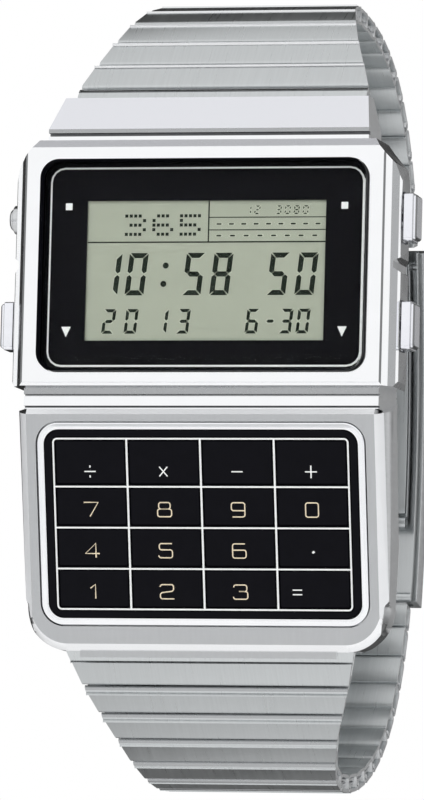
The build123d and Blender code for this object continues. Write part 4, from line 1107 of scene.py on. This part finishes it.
def make_link(length, start_width, end_width, strip_place, far_gap):
    """One link in its own frame: x across, y along, z outward."""
    sizes = settings("bracelet")
    top = HALF_HEIGHT - sizes.sheet / 2
    low = -top
    near = NEAR_GAP + sizes.sheet / 2
    far = length - far_gap - sizes.sheet / 2
    groove = {
        "far": far - sizes.strip, "near": near + sizes.strip, "inset": sizes.first_strip_end,
    }[strip_place]

    def width_at(along):
        return start_width + (end_width - start_width) * min(1, max(0, along / length))

    def folded(path, narrowing, sheet):
        return fold_sheet(path, [width_at(along) - narrowing for along, _ in path], sheet)

    shell = folded([
        (near, SHOULDER), (near + FOLD, top - FOLD_DROP), (near + FACE_EDGE, top),
        (groove - GROOVE_HALF, top), (groove, top - GROOVE_DEPTH), (groove + GROOVE_HALF, top),
        (far - FACE_EDGE, top), (far - FAR_FOLD, top - FAR_FOLD_DROP), (far, top - FAR_SHOULDER_DROP),
        (far, low + BACK_RISE), (far - BACK_FOLD, low + BACK_FOLD), (far - BACK_CORNER, low),
        (near + BACK_CORNER, low), (near + BACK_FOLD, low + BACK_FOLD), (near, -SHOULDER),
    ], 0, sizes.sheet)
    tongue = folded([
        (near + TONGUE_START, TONGUE_HEIGHT), (far - TONGUE_BEND, TONGUE_HEIGHT), (far - TONGUE_STEP, 0),
        (length, 0),
    ], TONGUE_NARROWING, TONGUE_SHEET)
    liner = folded(
        [(near + LINER_START, LINER_HEIGHT), (far - LINER_END, LINER_HEIGHT)], LINER_NARROWING, LINER_SHEET
    )
    parts = [shell, tongue, liner]
    if far_gap <= WIDE_GAP:
        parts.append(round_bar("bead", BEAD_RADIUS, end_width - BEAD_NARROWING, (length, 0)))
    for part in parts[:3]:
        round_edges(part, LINK_ROUND, 40, 2)
    link = join(parts, "link")
    dress(link, "brushed", "strip", "shade", "dull_shade")
    if strip_place == "far":
        kind, start, end = "strip", groove, far + STRIP_OVERRUN
    else:
        # On the lower half the near end is painted a darker grey, a painted shade line at the gap to the
        # next link.
        kind, start, end = "dull_shade", near - STRIP_OVERRUN, near + NEAR_SHADE_REACH
    paint(link, kind, lambda f: start < f.center.y < end and f.center.z > STRIP_FOOT)
    # The sides and the end walls between links get the darker side steel, a painted shade.
    paint(link, "shade", lambda f: abs(f.normal.x) > 0.7 or abs(f.center.z) < HALF_HEIGHT / 2)
    return link


def stations(start, side, first_length, headings, pitch):
    """The hinge points down one half of the bracelet, as (y, z)."""
    points = [start]
    for i, heading in enumerate(headings):
        length = first_length if i == 0 else pitch
        y, z = points[-1]
        points.append((y + length * sin(radians(heading)), z + side * length * cos(radians(heading))))
    return points


class WATCH_OT_bracelet(WatchOperator, bpy.types.Operator):
    """Fold the links of both halves of the bracelet and hang them on their groups"""

    bl_idname = "watch.bracelet"
    bl_label = "Bracelet"

    def execute(self, context):
        sizes = settings("bracelet")

        def width(shares, i):
            share = shares[i] if i < len(shares) else 0
            return sizes.end_width + share * (sizes.full_width - sizes.end_width)

        for side, word, start, first_length, headings, shares in (
            (1, "upper", UPPER_START, UPPER_FIRST, UPPER_HEADINGS, UPPER_SHARES),
            (-1, "lower", LOWER_START, LOWER_FIRST, LOWER_HEADINGS, LOWER_SHARES),
        ):
            points = stations(start, side, first_length, headings, sizes.pitch)
            plain = None
            first = 0
            for group, count in enumerate(GROUPS, 1):
                links = []
                for i in range(first, first + count):
                    length = first_length if i == 0 else sizes.pitch
                    free_end = side < 0 and i == len(headings) - 1
                    tapered = i == 0 or i < len(shares) or free_end
                    if tapered or plain is None:
                        gap = FREE_GAP if free_end else sizes.gap / 2
                        strip_place = "far" if side > 0 else "near" if i else "inset"
                        link = make_link(length, width(shares, i), width(shares, i + 1), strip_place, gap)
                        if not tapered:
                            plain = copy_of(link)
                    else:
                        link = copy_of(plain)
                    link.data.transform(self.link_place(points[i], radians(headings[i]), side))
                    if i == 0:
                        eye = round_bar("eye", EYE_RADIUS, sizes.full_width, start)
                        dress(eye, "brushed")
                        links.append(eye)
                    links.append(link)
                piece = join(links, f"{word}_folded_links_{group}")
                smooth(piece, 40)
                attach(piece, f"{word}_links_{group}")
                first += count
            bpy.data.objects.remove(plain)
        return {"FINISHED"}

    def link_place(self, point, turn, side):
        """The move that takes a link from its own frame to its place in the bracelet."""
        along = Vector((0, sin(turn), side * cos(turn)))
        outward = Vector((0, -cos(turn), side * sin(turn)))
        return Matrix((
            (side, along.x, outward.x, 0),
            (0, along.y, outward.y, point[0]),
            (0, along.z, outward.z, point[1]),
            (0, 0, 0, 1),
        ))


# Clasp


BLADE_ROUND = 0.08 * MM


class WATCH_OT_clasp(WatchOperator, bpy.types.Operator):
    """Round and brush the clasp's cover and its two blades"""

    bl_idname = "watch.clasp"
    bl_label = "Clasp"

    def execute(self, context):
        for node in ("clasp_base", "clasp_middle", "clasp_cover"):
            blade = finished(node, "brushed", ["brushed", "shade"], BLADE_ROUND, 35, 2, 35)
            # The blades' sides get the darker side steel, a painted shade.
            paint(blade, "shade", lambda f: abs(f.normal.x) > 0.8)
            attach(blade, node)
        return {"FINISHED"}


# Inner parts


INNER_FINISHES = {
    "backlight_panel": "frosted", "zebra_connectors": "rubber", "module_frame": "moulding",
    "main_circuit_board": "board", "processor_chip": "moulding", "quartz_crystal": "spring",
    "coin_battery": "spring", "battery_clamp": "spring", "buzzer_disc": "brass", "buzzer_spring": "spring",
    "side_switch_springs": "spring", "keypad_rubber_mat": "rubber", "keypad_circuit_board": "board",
    "keypad_backing_plate": "spring", "keypad_ribbon": "frosted", "button_seals": "rubber",
    "back_gasket": "rubber", "spring_bars": "spring",
}


class WATCH_OT_inner(WatchOperator, bpy.types.Operator):
    """Give the parts inside the case their finishes"""

    bl_idname = "watch.inner"
    bl_label = "Inner parts"

    def execute(self, context):
        for node, kind in INNER_FINISHES.items():
            dress(NODES[node], kind)
        return {"FINISHED"}


# Stage


# Width and height of the photograph and of the render, in pixels
PICTURE = (424, 800)

# What the camera is set at: the middle of the display's front
DISPLAY_FRONT = Vector((0, -8.2 * MM, 0))

# The cards: name, place, turn, width, length, and the grey at its near and far or low and high edge
CARDS = (
    ("left_back_card", (-0.75, 0.75, 0.55), (pi / 2, 0, 0), 1.5, 1.5, 0.02, 0.05),
    ("right_back_card", (0.3, 0.75, 0.55), (pi / 2, 0, 0), 0.6, 1.5, 0.4, 0.3),
    ("top_card", (0.1, -0.227, 1.3), (0, 0, 0), 3.2, 0.746, 0.88, 0.94),
    ("fading_top_card", (0.1, 0.173, 1.3), (0, 0, 0), 3.2, 0.054, 0.9, 0.03),
    ("far_top_card", (0.1, 0.475, 1.3), (0, 0, 0), 3.2, 0.55, 0.02, 0.02),
    ("front_floor_card", (0.0, -0.18, -0.155), (0, 0, 0), 1.2, 0.34, 1.0, 1.0),
    ("floor_card", (0.1, 0.06, -0.155), (0, 0, 0), 3.2, 0.14, 1.0, 0.5),
    ("far_floor_card", (0.1, 0.44, -0.155), (0, 0, 0), 3.2, 0.62, 0.2, 0.01),
)


def soft_lamp(name, place, width, height, power):
    """A large soft lamp that faces the watch, and that its polished faces don't see."""
    data = bpy.data.lights.new(name, "AREA")
    data.shape = "RECTANGLE"
    data.size, data.size_y = width, height
    data.energy = power
    lamp = bpy.data.objects.new(name, data)
    bpy.context.scene.collection.objects.link(lamp)
    lamp.location = place
    lamp.visible_glossy = False
    lamp.rotation_euler = (-Vector(place)).to_track_quat("-Z", "Y").to_euler()


def seen_by(tree, *rays):
    """One where a ray is of one of these kinds, and nought elsewhere."""
    path = tree.nodes.new("ShaderNodeLightPath")
    found = path.outputs[f"Is {rays[0]} Ray"]
    for ray in rays[1:]:
        either = tree.nodes.new("ShaderNodeMath")
        either.operation = "MAXIMUM"
        tree.links.new(found, either.inputs[0])
        tree.links.new(path.outputs[f"Is {ray} Ray"], either.inputs[1])
        found = either.outputs[0]
    return found


def mixed(tree, factor, low, high, target):
    """Two shaders mixed by a factor and led to a socket."""
    mix = tree.nodes.new("ShaderNodeMixShader")
    for output, socket in ((factor, mix.inputs[0]), (low, mix.inputs[1]), (high, mix.inputs[2])):
        tree.links.new(output, socket)
    tree.links.new(mix.outputs[0], target)


class WATCH_OT_stage(WatchOperator, bpy.types.Operator):
    """Lay the pale floor, hang the soft lamps and set the camera at the photograph's view"""

    bl_idname = "watch.stage"
    bl_label = "Stage"

    def execute(self, context):
        stage = settings("stage")
        scene = context.scene
        scene.view_settings.view_transform = "Standard"
        self.lay_floor(stage)
        self.light_room(scene)
        self.hang_cards()
        self.set_camera(stage, scene)
        return {"FINISHED"}

    def lay_floor(self, stage):
        """A pale floor that fades into the white room away from the watch."""
        bpy.ops.object.select_all(action="DESELECT")
        bpy.ops.mesh.primitive_circle_add(
            vertices=96, radius=6.0, fill_type="NGON", location=(0, 0, stage.floor_height)
        )
        floor = bpy.context.active_object
        floor.name = "floor"
        material, tree, shader, place = new_material("pale_floor")
        shader.inputs["Base Color"].default_value = (0.88, 0.88, 0.88, 1)
        shader.inputs["Roughness"].default_value = 0.7
        shader.inputs["Specular IOR Level"].default_value = 0.1
        distance = tree.nodes.new("ShaderNodeVectorMath")
        distance.operation = "LENGTH"
        tree.links.new(place.outputs["Object"], distance.inputs[0])
        fade = tree.nodes.new("ShaderNodeMapRange")
        fade.inputs["From Min"].default_value = 0.25
        fade.inputs["From Max"].default_value = 0.9
        tree.links.new(distance.outputs["Value"], fade.inputs["Value"])
        both = tree.nodes.new("ShaderNodeMath")
        both.operation = "MULTIPLY"
        tree.links.new(seen_by(tree, "Camera", "Transmission"), both.inputs[0])
        tree.links.new(fade.outputs[0], both.inputs[1])
        white = tree.nodes.new("ShaderNodeEmission")
        surface = tree.nodes["Material Output"].inputs["Surface"]
        mixed(tree, both.outputs[0], shader.outputs[0], white.outputs[0], surface)
        floor.data.materials.append(material)

    def light_room(self, scene):
        """A white room to look at, and a plain level of soft light from it and the lamps."""
        world = bpy.data.worlds.new("white_room")
        scene.world = world
        world.use_nodes = True
        tree = world.node_tree
        tree.nodes.clear()
        output = tree.nodes.new("ShaderNodeOutputWorld")
        level = tree.nodes.new("ShaderNodeBackground")
        level.inputs["Color"].default_value = (0.97, 0.98, 1.0, 1)
        level.inputs["Strength"].default_value = 0.62
        white = tree.nodes.new("ShaderNodeBackground")
        white.inputs["Color"].default_value = (1, 1, 1, 1)
        seen = seen_by(tree, "Camera", "Glossy", "Transmission")
        mixed(tree, seen, level.outputs[0], white.outputs[0], output.inputs["Surface"])
        soft_lamp("front_lamp", (-0.35, -0.9, 0.75), 0.7, 0.7, 6.0)
        soft_lamp("right_lamp", (0.9, -0.35, 0.3), 0.5, 0.8, 2.5)

    def hang_cards(self):
        """Grey cards behind and beside the watch, which only its polished faces see."""
        for name, place, turn, width, length, low, high in CARDS:
            bpy.ops.object.select_all(action="DESELECT")
            bpy.ops.mesh.primitive_plane_add(size=1, location=place, rotation=turn)
            card = bpy.context.active_object
            card.name = name
            card.scale = (width, length, 1)
            card.data.materials.append(self.card_finish(name, low, high))
            card.visible_camera = card.visible_diffuse = False
            card.visible_transmission = card.visible_shadow = False

    def card_finish(self, name, low, high):
        """A grey that changes evenly from one edge of a card to the other."""
        material = bpy.data.materials.new(name)
        material.use_nodes = True
        tree = material.node_tree
        tree.nodes.clear()
        output = tree.nodes.new("ShaderNodeOutputMaterial")
        grey = tree.nodes.new("ShaderNodeEmission")
        place = tree.nodes.new("ShaderNodeTexCoord")
        parts = tree.nodes.new("ShaderNodeSeparateXYZ")
        spread = tree.nodes.new("ShaderNodeMapRange")
        tree.links.new(place.outputs["Object"], parts.inputs[0])
        tree.links.new(parts.outputs["Y"], spread.inputs["Value"])
        for socket, value in (("From Min", -0.5), ("From Max", 0.5), ("To Min", low), ("To Max", high)):
            spread.inputs[socket].default_value = value
        tree.links.new(spread.outputs[0], grey.inputs["Strength"])
        tree.links.new(grey.outputs[0], output.inputs["Surface"])
        return material

    def set_camera(self, stage, scene):
        """A long lens that looks at the display from the photograph's side."""
        upright = Matrix.Rotation(pi / 2, 4, "X")
        turn = Matrix.Rotation(stage.tilt, 4, "X") @ Matrix.Rotation(stage.turn, 4, "Z") @ upright
        right, up, back = (turn.to_3x3().col[k] for k in range(3))
        scale = stage.pixels_per_metre
        place = DISPLAY_FRONT + back * stage.distance
        place -= right * (stage.centre_across - PICTURE[0] / 2) / scale
        place += up * (stage.centre_down - PICTURE[1] / 2) / scale
        bpy.ops.object.select_all(action="DESELECT")
        bpy.ops.object.camera_add(location=place, rotation=turn.to_euler())
        camera = bpy.context.active_object
        camera.name = "camera"
        camera.data.lens = camera.data.sensor_width * stage.distance * scale / PICTURE[1]
        camera.data.clip_start, camera.data.clip_end = 0.01, 20
        scene.camera = camera


STEPS = (
    (WATCH_OT_case, "CUBE"), (WATCH_OT_display, "IMAGE_PLANE"), (WATCH_OT_readout, "FONT_DATA"),
    (WATCH_OT_keypad, "GRID"), (WATCH_OT_buttons, "MESH_CYLINDER"), (WATCH_OT_bracelet, "LINKED"),
    (WATCH_OT_clasp, "CONSTRAINT"), (WATCH_OT_inner, "MEMORY"), (WATCH_OT_stage, "SCENE"),
)


class WATCH_PT_panel(bpy.types.Panel):
    """The watch's steps and sizes"""

    bl_idname = "WATCH_PT_panel"
    bl_label = "Calculator watch"
    bl_space_type = "VIEW_3D"
    bl_region_type = "UI"
    bl_category = "Watch"

    def draw(self, context):
        for kind, group in GROUP_TYPES.items():
            box = self.layout.box()
            box.label(text=kind.capitalize())
            for name in group.__annotations__:
                box.prop(getattr(context.scene, "watch_" + kind), name)
        for operator, icon in STEPS:
            self.layout.operator(operator.bl_idname, icon=icon)


GROUP_TYPES = {
    "case": WatchCaseSizes, "display": WatchDisplaySizes, "bracelet": WatchBraceletSizes,
    "colours": WatchColours, "stage": WatchStage,
}
CLASSES = (*GROUP_TYPES.values(), *(operator for operator, icon in STEPS), WATCH_PT_panel)


def register():
    """Make the watch's settings, operators and panel known."""
    for cls in CLASSES:
        bpy.utils.register_class(cls)
    for kind, group in GROUP_TYPES.items():
        setattr(bpy.types.Scene, "watch_" + kind, bpy.props.PointerProperty(type=group))


def unregister():
    """Take them away again."""
    for kind in GROUP_TYPES:
        delattr(bpy.types.Scene, "watch_" + kind)
    for cls in reversed(CLASSES):
        bpy.utils.unregister_class(cls)


def main():
    """Build the watch and its stage."""
    register()
    bpy.ops.watch.case()
    bpy.ops.watch.display()
    bpy.ops.watch.readout()
    bpy.ops.watch.keypad()
    bpy.ops.watch.buttons()
    bpy.ops.watch.bracelet()
    bpy.ops.watch.clasp()
    bpy.ops.watch.inner()
    bpy.ops.watch.stage()


if __name__ == "__main__":
    main()
